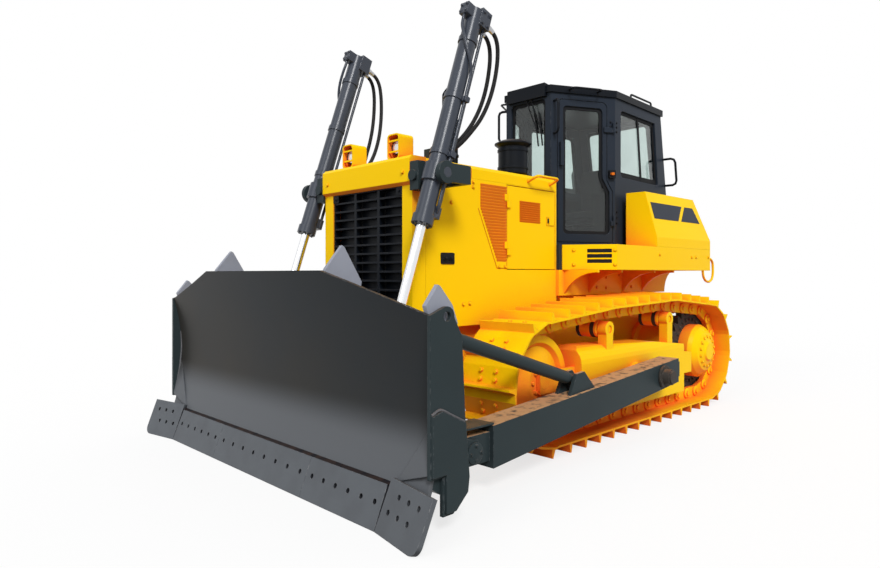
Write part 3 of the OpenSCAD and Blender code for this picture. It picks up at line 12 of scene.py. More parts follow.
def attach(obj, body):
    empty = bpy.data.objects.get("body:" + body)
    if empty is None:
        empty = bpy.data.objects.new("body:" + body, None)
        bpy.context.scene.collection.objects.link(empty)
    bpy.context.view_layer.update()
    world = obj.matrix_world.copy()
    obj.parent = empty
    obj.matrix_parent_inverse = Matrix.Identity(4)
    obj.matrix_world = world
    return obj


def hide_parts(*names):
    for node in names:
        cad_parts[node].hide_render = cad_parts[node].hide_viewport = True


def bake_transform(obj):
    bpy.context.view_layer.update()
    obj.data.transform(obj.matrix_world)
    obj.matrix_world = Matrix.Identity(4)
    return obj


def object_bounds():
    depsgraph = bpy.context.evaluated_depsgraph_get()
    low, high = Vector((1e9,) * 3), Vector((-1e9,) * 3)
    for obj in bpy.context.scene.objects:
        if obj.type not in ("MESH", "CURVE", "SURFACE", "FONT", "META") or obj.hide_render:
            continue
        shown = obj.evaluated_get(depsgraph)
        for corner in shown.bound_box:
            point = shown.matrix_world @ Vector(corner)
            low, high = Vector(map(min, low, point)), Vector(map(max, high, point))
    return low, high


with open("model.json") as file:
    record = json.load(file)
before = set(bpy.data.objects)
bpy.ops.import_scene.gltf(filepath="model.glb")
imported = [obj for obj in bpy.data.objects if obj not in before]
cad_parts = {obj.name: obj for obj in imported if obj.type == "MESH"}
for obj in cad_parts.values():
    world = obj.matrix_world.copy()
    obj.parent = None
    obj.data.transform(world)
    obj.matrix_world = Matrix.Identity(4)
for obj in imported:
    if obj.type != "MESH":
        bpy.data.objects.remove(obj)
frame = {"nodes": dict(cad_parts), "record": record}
CAD_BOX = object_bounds()

bl_info = {
    "name": "Bulldozer dressing",
    "version": (1, 0, 0),
    "blender": (4, 5, 0),
    "location": "View3D > Sidebar > Dozer",
    "description": "Paint, glass, hoses, cushions and fittings for a crawler bulldozer",
    "category": "Object",
}

NODES = frame["nodes"]
HALF_LENGTH = 2.835
SIDES = (("left", 1.0), ("right", -1.0))


def at(d, y, z):
    """Point in metres from a station behind the blade's foremost corner, a side and a height in millimetres."""
    return np.array([HALF_LENGTH - d / 1000.0, y / 1000.0, z / 1000.0])


# Routes of the two hoses of the left cylinder, in metres, from the barrel's head to the block on the hood
HOSE_OUTER = (
    (1.152, 0.830, 3.435), (1.095, 0.830, 3.416), (1.045, 0.829, 3.376), (1.017, 0.826, 3.310),
    (1.009, 0.820, 3.220), (1.015, 0.812, 3.120), (1.031, 0.800, 3.010), (1.057, 0.784, 2.900),
    (1.093, 0.764, 2.795), (1.137, 0.738, 2.700), (1.189, 0.703, 2.615), (1.240, 0.662, 2.538),
    (1.287, 0.622, 2.480), (1.335, 0.590, 2.441), (1.385, 0.567, 2.421), (1.410, 0.561, 2.416),
    (1.435, 0.561, 2.416),
)
HOSE_INNER = (
    (1.152, 0.740, 3.435), (1.095, 0.740, 3.416), (1.043, 0.738, 3.378), (1.011, 0.734, 3.316),
    (0.999, 0.727, 3.230), (1.001, 0.716, 3.130), (1.013, 0.702, 3.020), (1.035, 0.685, 2.910),
    (1.067, 0.664, 2.806), (1.108, 0.640, 2.712), (1.157, 0.612, 2.628), (1.213, 0.580, 2.553),
    (1.273, 0.548, 2.490), (1.333, 0.520, 2.446), (1.385, 0.504, 2.422), (1.410, 0.500, 2.416),
    (1.435, 0.500, 2.416),
)
HOSES = (("outer", HOSE_OUTER), ("inner", HOSE_INNER))

# All further places are in millimetres, with stations counted back from the blade's foremost corner.
# Plan corners of the cab's front, door and side walls on the left, and the lean of its rear
CAB_CORNERS = ((3250, -300), (3250, 300), (3930, 645), (5210, 582))
REAR_WAIST, REAR_TOP, REAR_FOOT, REAR_LEAN = 2330.0, 3335.0, 5210.0, 170.0

# Window corners as (along the wall, height), anticlockwise seen from outside, and the depth of the glass
DOOR_WINDOW = ((143, 1870), (694.5, 1870), (694.5, 2320), (608.5, 2470), (608.5, 3207), (143, 3207))
SIDE_WINDOW = ((125, 2500), (1045, 2500), (954.4, 3225), (125, 3225))
FRONT_WINDOW = ((70, 2420), (530, 2420), (530, 3280), (70, 3280))
REAR_WINDOW = ((-432, 2420), (432, 2420), (432, 3280), (-432, 3280))
PANE_RADIUS, WALL_GLASS, DOOR_GLASS = 45.0, 30.0, 23.0
SLIDER_BAR = ((628, 2502), (666, 2502), (577, 3222), (539, 3222))
SLIDER_SILL = ((128, 2501), (1042, 2501), (1035, 2562), (128, 2562))

# Door catch and its tip as (ends along the wall, lowest, highest), and the hinge bolts' heights and rows
DOOR_CATCH, CATCH_TIP = (674, 748, 2470, 2556), (682, 716, 2500, 2526)
UPPER_HINGE, LOWER_HINGE = (2975.0, 3023.0, 3071.0), (1995.0, 2055.0, 2115.0)
DOOR_ROW, WALL_ROW = 705, 30

# Two wipers as (pivot, foot of the arm) along the front wall, and the heights of pivot and foot
WIPERS, WIPER_TOP, WIPER_FOOT = ((290.0, 400.0), (350.0, 455.0)), 3308.0, 2985.0

# Cushion of the seat between two corners, and the middle of the backrest's rear face
CUSHION_LOW, CUSHION_HIGH, BACKREST_AT = (4550, -240, 2065.3), (4150, 240, 2195), (4644.7, 0, 2405)

# Chain of the left track, and its wheels' faces as distances out from its middle
SHOE_PITCH, SPROCKET_LINKS, IDLER_RADIUS, CHAIN_HEIGHT = 216.0, 13, 430.0, 145.0
WHEEL_RADIUS = SHOE_PITCH / (2 * np.sin(np.pi / SPROCKET_LINKS))
SPROCKET_AT, IDLER_AT, TRACK_SIDE = 4850.0, 2010.0, 1000.0
CARRIERS = ((4060.0, 1122.0), (2920.0, 1085.0))
SHOE_FACE, CARRIER_DROP, ARC_POINTS = 75.0, 132.0, 21
IDLER_HUB, DRIVE_HUB, SPROCKET_FACE = 122, 241, 35

# Lift cylinder: trunnion, lean, foot of the barrel, and its port block and a pipe's route in the cylinder's own axes
TRUNNION = (1150.0, 785.0, 2200.0)
LIFT_LEAN = np.arctan2(500.0, 1500.0)
BARREL_DOWN, PORT_BLOCK, PORT_FACE = 407.0, (-44, 44, 1328, 1426), 122
PIPE_ROUTE = (
    [104, 104, 102, 78, 40, -10, -44, -52, -52, -52, -52, -56, -74],
    [0, 0, 12, 52, 80, 89, 78, 72, 72, 72, 72, 70, 42],
    [1340, 1280, 1215, 1110, 1010, 925, 850, 700, 400, 100, -160, -235, -282],
)

# Hood: its side, top and grille, and bolts as (station, side, height) or (station, height)
HOOD_SIDE, HOOD_TOP, GRILLE_AT, BROW_BOLT = 590.0, 2365.0, 1112, (1070, 510, 2236)
HOOD_BOLTS = (
    (1779, 2224), (1779, 2181), (1520, 2032), (2111, 1514), (2190, 1515), (1330, 1180), (1420, 1180), (1660, 1200),
    (1735, 1205), (1420, 1085),
)

# Blades on the hood's side: how many, from which height, between which stations, and the slant of the louvres' front
LOUVRE_COUNT, LOUVRE_FOOT, LOUVRE_TOP, LOUVRE_FRONT, LOUVRE_REAR = 26, 1565.0, 2230.0, 1868.0, 2202.0
LOUVRE_KNEE, LOUVRE_SLANT = 2007.0, 0.475
VENT_COUNT, VENT_FOOT, VENT_PITCH, VENT_FRONT, VENT_REAR = 10, 1926.0, 19.5, 2391.0, 2688.0

# Plates on the hood as (ends along the face, lowest, highest), and knobs as (station, height)
SWITCH_PLATE, SWITCH_KNOBS = (1400, 1552, 1530, 1622), ((1446, 1576), (1508, 1576))
LATCH_LEVER, GRILLE_LUGS = (2802, 2820, 1936, 1976), ((392, 470, 801, 867), (392, 470, 2070, 2136))
LAMP_BARS = ((240, 380, 2425, 2440), (240, 380, 2512, 2527))

# Lamp's middle as (side, height), and the stations of its bars, lens and rim
LAMP_MIDDLE, BARS_AT, LENS_AT, RIM_AT = (310, 2470), 1152, 1184, 1188

# Straps of the precleaner and the stack as (radius in metres, plan place, heights over the hood in metres)
STRAPS = ((0.142, (2700, 250), (0.105, 0.275)), (0.075, (2085, 0), (0.180, 0.480)))

# Fender: its side and plate, the plan corners of its nose, bolts as (station, height) or (station, side, height)
FENDER_SIDE, FENDER_PLATE = 1065.0, 22.0
NOSE_CORNERS = ((3000, 620), (3270, 1065))
FENDER_BOLTS = ((4108, 1652), (4851, 1638), (4960, 1640), (5282, 1646))
NOSE_BOLTS = ((3059, 717, 1679), (3260, 1049, 1679), (3059, 717, 1540), (3260, 1049, 1540))
HULL_SIDE = 620
HULL_BOLTS = (
    (3612, 1438), (3792, 1415), (3612, 1310), (3792, 1304), (4052, 1436), (4306, 1439), (4306, 1310), (4560, 1430),
)
SLOT_ENDS, SLOT_HEIGHTS, SLOT_TALL = (240.5, 471.5), (1556.5, 1606.5, 1656.5), 35

# Leaning face of the side tank, and its two bare bands as (station, height)
TANK_FOOT, TANK_LEAN = 1835.0, 135.0 / 485.0
TANK_BANDS = (
    ((4102, 2035), (4640, 2035), (4812, 2211), (4102, 2211)),
    ((4712, 2035), (5172, 2035), (5086, 2211), (4886, 2211)),
)

# Bent rod at the rear end of the left fender, as (station, height)
HANDLE_SIDE = 1040.0
HANDLE_ROUTE = (
    (5322, 1634), (5395, 1629), (5452, 1594), (5470, 1530), (5466, 1445), (5432, 1388), (5362, 1360), (5276, 1370),
    (5218, 1412), (5196, 1470), (5194, 1512),
)

# Blade: sides of its plate, arm, lift pin and cutting edges; a black strip of painted shadow on the edges' top face and
# two weld lines as (station, height); a corner plate as (station, side, height); and a dark plate over the arm's fork,
# which partly stands in for shade, as (station, out from the arm)
BLADE_HALF, ARM_SIDE, LIFT_SIDE, EDGE_HALF = 1737.0, 1420.0, 785.0, 1456.0
EDGE_SHADOW_STRIP = ((180.5, 244.6), (213.0, 253.0), (207.0, 233.0))
CHEVRON_WELD = ((214, 683), (279, 704), (370, 660), (463, 613))
SEAM_WELD = ((231, 410), (252, 520), (268, 620), (281, 780), (276, 920))
CORNER_PLATE = ((212, 1470, 262), (207, BLADE_HALF, 350), (279, BLADE_HALF, 660))
# The fork's plate partly stands in for shade in the gap between blade and arm
FORK_SHADE_COVER, FORK_TOP, COVER_THICK = ((720, -90), (1005, -90), (1005, 90), (720, 90)), 476, 0.012

# Pins as (station, middle side, height, half the width between caps in millimetres, cap radius in metres)
PINS = ((650, LIFT_SIDE, 700, 80, 0.058), (800, ARM_SIDE, 320, 110, 0.070), (480, ARM_SIDE, 1115, 75, 0.046))

# Directions as they are on the machine's left side, and white
FORWARD, OUTWARDS, UPWARDS, BACKWARDS, INWARDS = (1, 0, 0), (0, 1, 0), (0, 0, 1), (-1, 0, 0), (0, -1, 0)
WHITE = (1, 1, 1, 1)


def colour_setting(name, description, default):
    """Colour property with linear values."""
    return FloatVectorProperty(name=name, description=description, subtype="COLOR", size=3, default=default)


def length_setting(name, description, default):
    """Length property in metres."""
    return FloatProperty(name=name, description=description, default=default, unit="LENGTH")


class PaintSettings(bpy.types.PropertyGroup):
    """Colours of the machine's finishes, as linear values."""

    yellow: colour_setting("Yellow", "Body paint", (1.0, 0.630, 0.002))
    # Amber is painted shade: it goes into the yellow in recesses, slots and on faces that look down
    amber: colour_setting("Amber", "Body paint in recesses and shade", (0.95, 0.145, 0.026))
    charcoal: colour_setting("Charcoal", "Blade and arms", (0.028, 0.040, 0.044))
    cab: colour_setting("Cab grey", "Cab walls", (0.018, 0.025, 0.038))
    barrel: colour_setting("Barrel", "Lift cylinder barrels", (0.040, 0.048, 0.066))
    edge: colour_setting("Edge steel", "Cutting edges and end bits", (0.100, 0.110, 0.123))
    fin: colour_setting("Fin grey", "Fins behind the blade", (0.30, 0.32, 0.38))
    dust: colour_setting("Dust", "Dried soil on upward faces", (0.50, 0.285, 0.145))
    black: colour_setting("Black", "Black paint and cab roof", (0.005, 0.007, 0.011))
    glass: colour_setting("Glass", "Tint of the window panes", (0.72, 0.80, 0.78))


class FittingSettings(bpy.types.PropertyGroup):
    """Sizes of the pieces added to the solids."""

    hose_d: length_setting("Hose diameter", "Outer diameter of a lift hose", 0.034)
    hose_sides: IntProperty(name="Hose sides", description="Faces round a hose", default=20)
    bolt: length_setting("Bolt", "Width across a panel bolt's head", 0.026)
    seal: length_setting("Seal", "Width of the black border round a pane", 0.034)
    crown: length_setting("Cushion crown", "How far a cushion bulges in its middle", 0.022)


class StageSettings(bpy.types.PropertyGroup):
    """Floor, light and camera."""

    floor: colour_setting("Floor", "Colour of the floor as it is seen", (0.97, 0.97, 0.97))
    bounce: colour_setting("Bounce", "Colour of the light that the floor sends back up", (0.50, 0.47, 0.43))
    sky: FloatProperty(name="Sky", description="Strength of the soft light from all round", default=0.45)
    key: FloatProperty(name="Key", description="Strength of the main lamp", default=2.4)
    lens: FloatProperty(name="Lens", description="Focal length in millimetres", default=26.33, unit="CAMERA")


# Mesh building


def smooth_line(points, steps):
    """Catmull-Rom curve through the points: each span is a cubic of its two ends and their neighbours."""
    p = np.asarray(points, float)
    ends = np.vstack([2 * p[0] - p[1], p, 2 * p[-1] - p[-2]])
    t = np.linspace(0, 1, steps, endpoint=False)[None, :, None]
    a, b, c, d = (ends[i : len(ends) - 3 + i][:, None, :] for i in range(4))
    curve = 0.5 * (2 * b + (c - a) * t + (2 * a - 5 * b + 4 * c - d) * t**2 + (3 * b - a - 3 * c + d) * t**3)
    return np.vstack([curve.reshape(-1, 3), p[-1:]])


def grid_faces(rows, columns, close_rows=False):
    """Quads between neighbouring points of a grid, whose columns are wrapped round, and its rows too where asked."""
    i, j = np.meshgrid(np.arange(rows if close_rows else rows - 1), np.arange(columns), indexing="ij")
    k, m = (i + 1) % rows, (j + 1) % columns
    corners = [i * columns + j, i * columns + m, k * columns + m, k * columns + j]
    return np.stack(corners, -1).reshape(-1, 4)


def capped(rows, columns):
    """Faces of a grid that is wrapped round into a tube, with a flat face over its first and its last ring."""
    last = (rows - 1) * columns
    ends = [list(range(columns - 1, -1, -1)), list(range(last, last + columns))]
    return grid_faces(rows, columns).tolist() + ends


def across(axis):
    """Unit vector along an axis, and two more that stand across it and across each other."""
    axis = np.asarray(axis, float) / np.linalg.norm(axis)
    side = np.cross(axis, np.eye(3)[np.argmin(np.abs(axis))])
    side /= np.linalg.norm(side)
    return axis, side, np.cross(axis, side)


def circle(count, side, up):
    """Directions spaced evenly round a circle: cosine times one vector plus sine times the other."""
    a = np.linspace(0, 2 * np.pi, count, endpoint=False)[:, None]
    return np.cos(a) * side + np.sin(a) * up


def tube(path, radius, sides):
    """Circle carried along a path: each ring lies across the path's direction, and both ends are closed."""
    path = np.asarray(path, float)
    direction = np.gradient(path, axis=0)
    direction /= np.linalg.norm(direction, axis=1, keepdims=True)
    pick = np.eye(3)[np.argmin(np.abs(direction).max(0))]
    side = np.cross(direction, pick)
    side /= np.linalg.norm(side, axis=1, keepdims=True)
    up = np.cross(side, direction)
    radius = np.broadcast_to(np.asarray(radius, float), (len(path),))[:, None, None]
    rings = path[:, None] + radius * circle(sides, side[:, None], up[:, None])
    return rings.reshape(-1, 3), [face[::-1] for face in capped(len(path), sides)]


def lathe(profile, sides, place, axis):
    """Profile of (radius, height) points turned about an axis through a place; the ends are closed with discs."""
    profile = np.asarray(profile, float)
    axis, side, up = across(axis)
    radius, height = profile[:, 0, None, None], profile[:, 1, None, None]
    rings = np.asarray(place, float) + radius * circle(sides, side, up) + height * axis
    return rings.reshape(-1, 3), capped(len(profile), sides)


def hoop(profile, sides, place, axis):
    """Closed profile of (radius, height) points turned about an axis through a place into a ring."""
    rings, _ = lathe(profile, sides, place, axis)
    return rings, grid_faces(len(profile), sides, close_rows=True).tolist()


def plate(front, back):
    """Closed shape between two outlines of equally many points in space."""
    n = len(front)
    ends = [list(range(n)), list(range(2 * n - 1, n - 1, -1))]
    return np.vstack([front, back]), ends + grid_faces(2, n).tolist()


def prism(outline, depth):
    """Outline of points in space, anticlockwise seen from outside, carried along a depth vector inwards."""
    outline = np.asarray(outline, float)
    n = len(outline)
    i = np.arange(n)
    walls = np.stack([i, i + n, (i + 1) % n + n, (i + 1) % n], -1).tolist()
    return np.vstack([outline, outline + np.asarray(depth, float)]), [i.tolist(), (i[::-1] + n).tolist(), *walls]


def slab(outline, place, v0, v1):
    """Plate of an outline between two depths, put in space by a function of (along, depth, up)."""
    u, z = np.asarray(outline, float).T
    return plate(place(u, v0, z), place(u, v1, z))


def inset(corners, gap):
    """Anticlockwise outline moved inwards: each corner goes along the bisector of its two sides."""
    p = np.asarray(corners, float)
    side = np.roll(p, -1, 0) - p
    side /= np.linalg.norm(side, axis=1, keepdims=True)
    left = np.stack([-side[:, 1], side[:, 0]], 1)
    before = np.roll(left, 1, 0)
    return p + gap * (before + left) / (1 + (before * left).sum(1, keepdims=True))


def rounded(corners, radius, steps=6):
    """Outline whose corners are parabolas that start and end a radius away from each corner."""
    p = np.asarray(corners, float)
    back, ahead = np.roll(p, 1, 0) - p, np.roll(p, -1, 0) - p
    start = (p + radius * back / np.linalg.norm(back, axis=1, keepdims=True))[:, None]
    end = (p + radius * ahead / np.linalg.norm(ahead, axis=1, keepdims=True))[:, None]
    t = np.linspace(0, 1, steps)[None, :, None]
    return ((1 - t) ** 2 * start + 2 * t * (1 - t) * p[:, None] + t**2 * end).reshape(-1, 2)


def band(outer, inner, place, v0, v1):
    """Flat ring between two outlines of equally many points and two depths, put in space as a slab is."""
    loops = [place(o[:, 0], v, o[:, 1]) for o, v in ((outer, v0), (inner, v0), (inner, v1), (outer, v1))]
    return np.vstack(loops), grid_faces(4, len(outer), close_rows=True).tolist()


def box_outline(u0, u1, z0, z1, radius=None):
    """Anticlockwise outline of a rectangle, with round corners where a radius is given."""
    corners = (u0, z0), (u1, z0), (u1, z1), (u0, z1)
    return rounded(corners, radius) if radius else corners


def bolts(places, normal, width):
    """Hexagonal heads on round washers: each is two short lathed stacks, standing a millimetre into its face."""
    r = width / 2
    washer = lathe(((1.4 * r, -0.001), (1.4 * r, 0.25 * r)), 12, (0, 0, 0), normal)
    head = lathe(((r, 0.25 * r), (r, 0.85 * r), (0.82 * r, 1.05 * r)), 6, (0, 0, 0), normal)
    return repeated(joined([washer, head]), places)


def ring_of(count, radius, place, axis):
    """Places spaced evenly on a circle about an axis."""
    _, side, up = across(axis)
    return np.asarray(place, float) + radius * circle(count, side, up)


def spots(side, pairs):
    """Places at one distance from the middle, from pairs of a station and a height."""
    return np.array([at(d, side, z) for d, z in pairs])


def on_face(origin, along, inward, up=UPWARDS):
    """Function of (along, inwards, up) in millimetres that gives points of a face: a place, plus each distance times
    its direction."""
    axes = np.array([along, inward, up], float) / 1000.0

    def place(u, v, z):
        return origin + np.stack(np.broadcast_arrays(u, v, z), -1) @ axes

    return place


def on_wall(start, end):
    """Face of an upright wall between two plan corners."""
    a, b = at(*start, 0), at(*end, 0)
    along = (b - a) / np.linalg.norm(b - a)
    return on_face(a, along, (-along[1], along[0], 0))


def on_side(side):
    """Upright face at one distance from the middle, with stations along it."""
    return on_face(at(0, side, 0), BACKWARDS, INWARDS)


def on_front(d):
    """Upright face at one station, with distances from the middle along it."""
    return on_face(at(d, 0, 0), OUTWARDS, BACKWARDS)


# Leaning outer face of the left side tank, and the left lift cylinder's own axes: forward across it, outwards, and up
# along it from the trunnion
on_tank = on_face(at(0, FENDER_SIDE + TANK_LEAN * TANK_FOOT, 0), BACKWARDS, INWARDS, (0, -TANK_LEAN, 1))
on_barrel = on_face(
    at(*TRUNNION), (np.cos(LIFT_LEAN), 0, np.sin(LIFT_LEAN)), OUTWARDS, (-np.sin(LIFT_LEAN), 0, np.cos(LIFT_LEAN))
)


def on_rear(y, v, z):
    """Points on the cab's rear wall, which leans forward above its waist."""
    y, v, z = np.broadcast_arrays(*(np.asarray(x, float) for x in (y, v, z)))
    d = REAR_FOOT - REAR_LEAN * np.clip((z - REAR_WAIST) / (REAR_TOP - REAR_WAIST), 0, 1) - v
    return np.stack([HALF_LENGTH - d / 1000, y / 1000, z / 1000], -1)


def outward(place):
    """Direction out of a face that is given as a function of (along, inwards, up)."""
    return place(0, -1000, 0) - place(0, 0, 0)


def chain_places(shift):
    """Places on the left chain, one a pitch, and their axes along, across and out: the pitch line goes round the
    sprocket, over the carrier rollers, round the idler and back, and is walked in equal steps."""
    sprocket = np.array([1000 * HALF_LENGTH - SPROCKET_AT, CHAIN_HEIGHT + WHEEL_RADIUS])
    idler = np.array([1000 * HALF_LENGTH - IDLER_AT, CHAIN_HEIGHT + IDLER_RADIUS])
    rear, front = (np.array([1000 * HALF_LENGTH - d, z]) for d, z in CARRIERS)
    rise = np.arctan2(rear[1] - sprocket[1] - WHEEL_RADIUS, rear[0] - sprocket[0])
    fall = np.arctan2(front[1] - idler[1] - IDLER_RADIUS, idler[0] - front[0])
    t = np.linspace(0, 1, ARC_POINTS)
    a, b = 1.5 * np.pi - (np.pi - rise) * t, 0.5 * np.pi - fall - (np.pi - fall) * t
    line = np.vstack([
        sprocket + WHEEL_RADIUS * np.stack([np.cos(a), np.sin(a)], 1), rear, front,
        idler + IDLER_RADIUS * np.stack([np.cos(b), np.sin(b)], 1), sprocket - [0, WHEEL_RADIUS],
    ])
    run = np.append(0, np.cumsum(np.linalg.norm(np.diff(line, axis=0), axis=1)))
    count = round(run[-1] / SHOE_PITCH)
    step = run[-1] / count

    def walk(s):
        return np.stack([np.interp(s % run[-1], run, line[:, i]) for i in range(2)], 1)

    s = (np.arange(count) + 0.5 + shift) * step
    along = walk(s + step / 2) - walk(s - step / 2)
    along /= np.linalg.norm(along, axis=1, keepdims=True)
    flat, one = np.zeros(count), np.ones(count)
    axes = np.stack([
        np.stack([along[:, 0], flat, along[:, 1]], 1), np.stack([flat, one, flat], 1),
        np.stack([-along[:, 1], flat, along[:, 0]], 1),
    ], 1)
    place = walk(s)
    return np.stack([place[:, 0], flat + TRACK_SIDE, place[:, 1]], 1) / 1000.0, axes


def joined(parts):
    """One list of points and faces from several, each face's numbers moved up by the points before it."""
    starts = np.cumsum([0] + [len(v) for v, _ in parts[:-1]])
    faces = [[int(k + s) for k in f] for (_, fs), s in zip(parts, starts) for f in fs]
    return np.vstack([v for v, _ in parts]), faces


def repeated(part, places, axes=None):
    """The same shape at each of several places, its points turned into each place's axes where there are any."""
    v, f = part
    places = np.asarray(places, float).reshape(-1, 3)
    turned = v[None] if axes is None else np.einsum("kj,nji->nki", v, axes)
    moved = (places[:, None] + turned).reshape(-1, 3)
    return moved, [[k + i * len(v) for k in face] for i in range(len(places)) for face in f]


def mirrored(part, side):
    """The shape itself, or its mirror image across the machine's middle with its faces turned back outwards."""
    v, f = part
    return (v, f) if side > 0 else (v * [1, -1, 1], [face[::-1] for face in f])


def piece(name, part, body, slot, look=None, angle=35.0):
    """Object of a shape, smooth up to an angle, with its slot's finish or another, and riding on a body."""
    mesh = bpy.data.meshes.new(name)
    mesh.from_pydata(np.asarray(part[0], float).tolist(), [], part[1])
    shell = bmesh.new()
    shell.from_mesh(mesh)
    bmesh.ops.recalc_face_normals(shell, faces=shell.faces)
    shell.to_mesh(mesh)
    shell.free()
    mesh.shade_smooth()
    mesh.set_sharp_from_angle(angle=np.radians(angle))
    mesh.materials.append(finished(look or FINISH_OF_SLOT.get(slot, slot)))
    made = bpy.data.objects.new(name, mesh)
    bpy.context.scene.collection.objects.link(made)
    if body:
        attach(made, body)
    return made


def pair(rows):
    """Pieces on the left and their mirror images on the right: each row has a name, a shape, a body, a slot and, where
    it isn't the slot's own, a finish."""
    for side, sign in SIDES:
        for name, shape, body, slot, *look in rows:
            piece(f"{name}_{side}", mirrored(shape, sign), body.format(side), slot, *look)


# Finishes


def feed(tree, made, given):
    """Gives each named input of a node a link, where the value is a socket, or else a constant."""
    for key, value in dict(given).items():
        if isinstance(value, bpy.types.NodeSocket):
            tree.links.new(value, made.inputs[key])
        else:
            made.inputs[key].default_value = value


def node(tree, kind, given=(), **settings):
    """New shader node with its settings and inputs."""
    made = tree.nodes.new("ShaderNode" + kind)
    for key, value in settings.items():
        setattr(made, key, value)
    feed(tree, made, given)
    return made


def calc(tree, operation, *values, clamp=False):
    """Result of one sum."""
    return node(tree, "Math", enumerate(values), operation=operation, use_clamp=clamp).outputs[0]


def ramp(tree, value, low, high, to=(0.0, 1.0), kind="LINEAR"):
    """Value carried from one range into another."""
    ends = {"Value": value, "From Min": low, "From Max": high, "To Min": to[0], "To Max": to[1]}
    return node(tree, "MapRange", ends, interpolation_type=kind).outputs[0]


def mixed(tree, share, first, second):
    """Colour between two colours."""
    return node(tree, "MixRGB", {"Fac": share, "Color1": first, "Color2": second}).outputs[0]


def noise(tree, scale, detail=2.0):
    """Noise on the piece's own coordinates."""
    place = node(tree, "TexCoord").outputs["Object"]
    return node(tree, "TexNoise", {"Vector": place, "Scale": scale, "Detail": detail}).outputs["Fac"]


def upright(tree, what):
    """Upward part of the surface's place or normal."""
    return node(tree, "SeparateXYZ", {0: node(tree, "TexCoord").outputs[what]}).outputs["Z"]


def new_group(name, inputs, outputs):
    """Empty shader group with named inputs and their values, and named outputs and their kinds; gives its tree, what
    comes in and its last node."""
    tree = bpy.data.node_groups.new(name, "ShaderNodeTree")
    socket = tree.interface.new_socket
    for label, value in inputs.items():
        kind = "NodeSocketColor" if isinstance(value, tuple) else "NodeSocketFloat"
        socket(name=label, in_out="INPUT", socket_type=kind).default_value = value
    for label, kind in outputs.items():
        socket(name=label, in_out="OUTPUT", socket_type="NodeSocket" + kind)
    return tree, tree.nodes.new("NodeGroupInput").outputs, tree.nodes.new("NodeGroupOutput")


def weather_group():
    """Paint that varies in soft patches, with dust that settles on faces that look up."""
    tree, given, out = new_group(
        "weather",
        {"Paint": WHITE, "Shade": WHITE, "Dust": WHITE, "Patches": 0.25, "Dust Amount": 0.2, "Scale": 2.0},
        {"Color": "Color", "Dust Mask": "Float"},
    )
    patches = ramp(tree, noise(tree, given["Scale"], 5.0), 0.40, 0.72)
    tone = mixed(tree, calc(tree, "MULTIPLY", patches, given["Patches"]), given["Paint"], given["Shade"])
    up = ramp(tree, upright(tree, "Normal"), 0.55, 0.95, kind="SMOOTHSTEP")
    broken = ramp(tree, noise(tree, 14.0, 8.0), 0.30, 0.66)
    mask = calc(tree, "MULTIPLY", calc(tree, "MULTIPLY", up, broken), given["Dust Amount"], clamp=True)
    feed(tree, out, {"Color": mixed(tree, mask, tone, given["Dust"]), "Dust Mask": mask})


def edge_group():
    """Softened normal near edges, and a broken mask of the places where paint rubs off them."""
    tree, given, out = new_group("edge_wear", {"Radius": 0.008, "Grain": 30.0}, {"Mask": "Float", "Normal": "Vector"})
    soft = node(tree, "Bevel", {"Radius": given["Radius"]}, samples=4).outputs["Normal"]
    flat = node(tree, "NewGeometry").outputs["Normal"]
    turn = node(tree, "VectorMath", {0: soft, 1: flat}, operation="DOT_PRODUCT").outputs["Value"]
    broken = ramp(tree, noise(tree, given["Grain"], 6.0), 0.48, 0.64)
    mask = calc(tree, "MULTIPLY", ramp(tree, turn, 0.985, 0.86), broken, clamp=True)
    feed(tree, out, {"Mask": mask, "Normal": soft})


def grain_group():
    """Height of fine grain: two noises, one coarse for orange peel and one fine for grit."""
    tree, given, out = new_group("grain", {"Scale": 120.0, "Grit": 0.4}, {"Height": "Float", "Speckle": "Float"})
    coarse, fine = noise(tree, given["Scale"]), noise(tree, calc(tree, "MULTIPLY", given["Scale"], 6.0))
    feed(tree, out, {"Height": calc(tree, "MULTIPLY_ADD", fine, given["Grit"], coarse), "Speckle": fine})


def recess_group():
    """Mask of painted shade: places that little open air reaches, such as slots, corners and the undersides of decks,
    and faces that look down.
    """
    tree, given, out = new_group("recess", {"Distance": 0.5}, {"Mask": "Float"})
    shut = node(tree, "AmbientOcclusion", {"Distance": given["Distance"]}, samples=8).outputs["AO"]
    deep = ramp(tree, shut, 0.78, 0.22, kind="SMOOTHSTEP")
    # Faces that look down get painted shade as well
    under = ramp(tree, upright(tree, "Normal"), 0.02, -0.55, (0.0, 0.85), "SMOOTHSTEP")
    feed(tree, out, {"Mask": calc(tree, "MAXIMUM", deep, under)})


def rgba(colour):
    """Colour with a full alpha."""
    return (*tuple(colour)[:3], 1.0)


def finished(name):
    """The finish of a name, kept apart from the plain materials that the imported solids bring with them."""
    return bpy.data.materials[f"dozer_{name}"]


def new_material(name):
    """Empty material, its tree and its shader."""
    made = bpy.data.materials.new(name)
    made.use_nodes = True
    return made, made.node_tree, made.node_tree.nodes["Principled BSDF"]


def effect(tree, name, given):
    """What one of the shared groups puts out for a material's own values."""
    return node(tree, "Group", given, node_tree=bpy.data.node_groups[name]).outputs


SOIL = (0.30, 0.135, 0.055)
# The first share sets how much painted shade goes into recesses and under faces
PAINTED_SHADE_SHARE, DUST_ROUGHNESS, SPECKLE_SHARE, GRAIN_HEIGHT = 0.9, 0.75, 0.12, 0.004


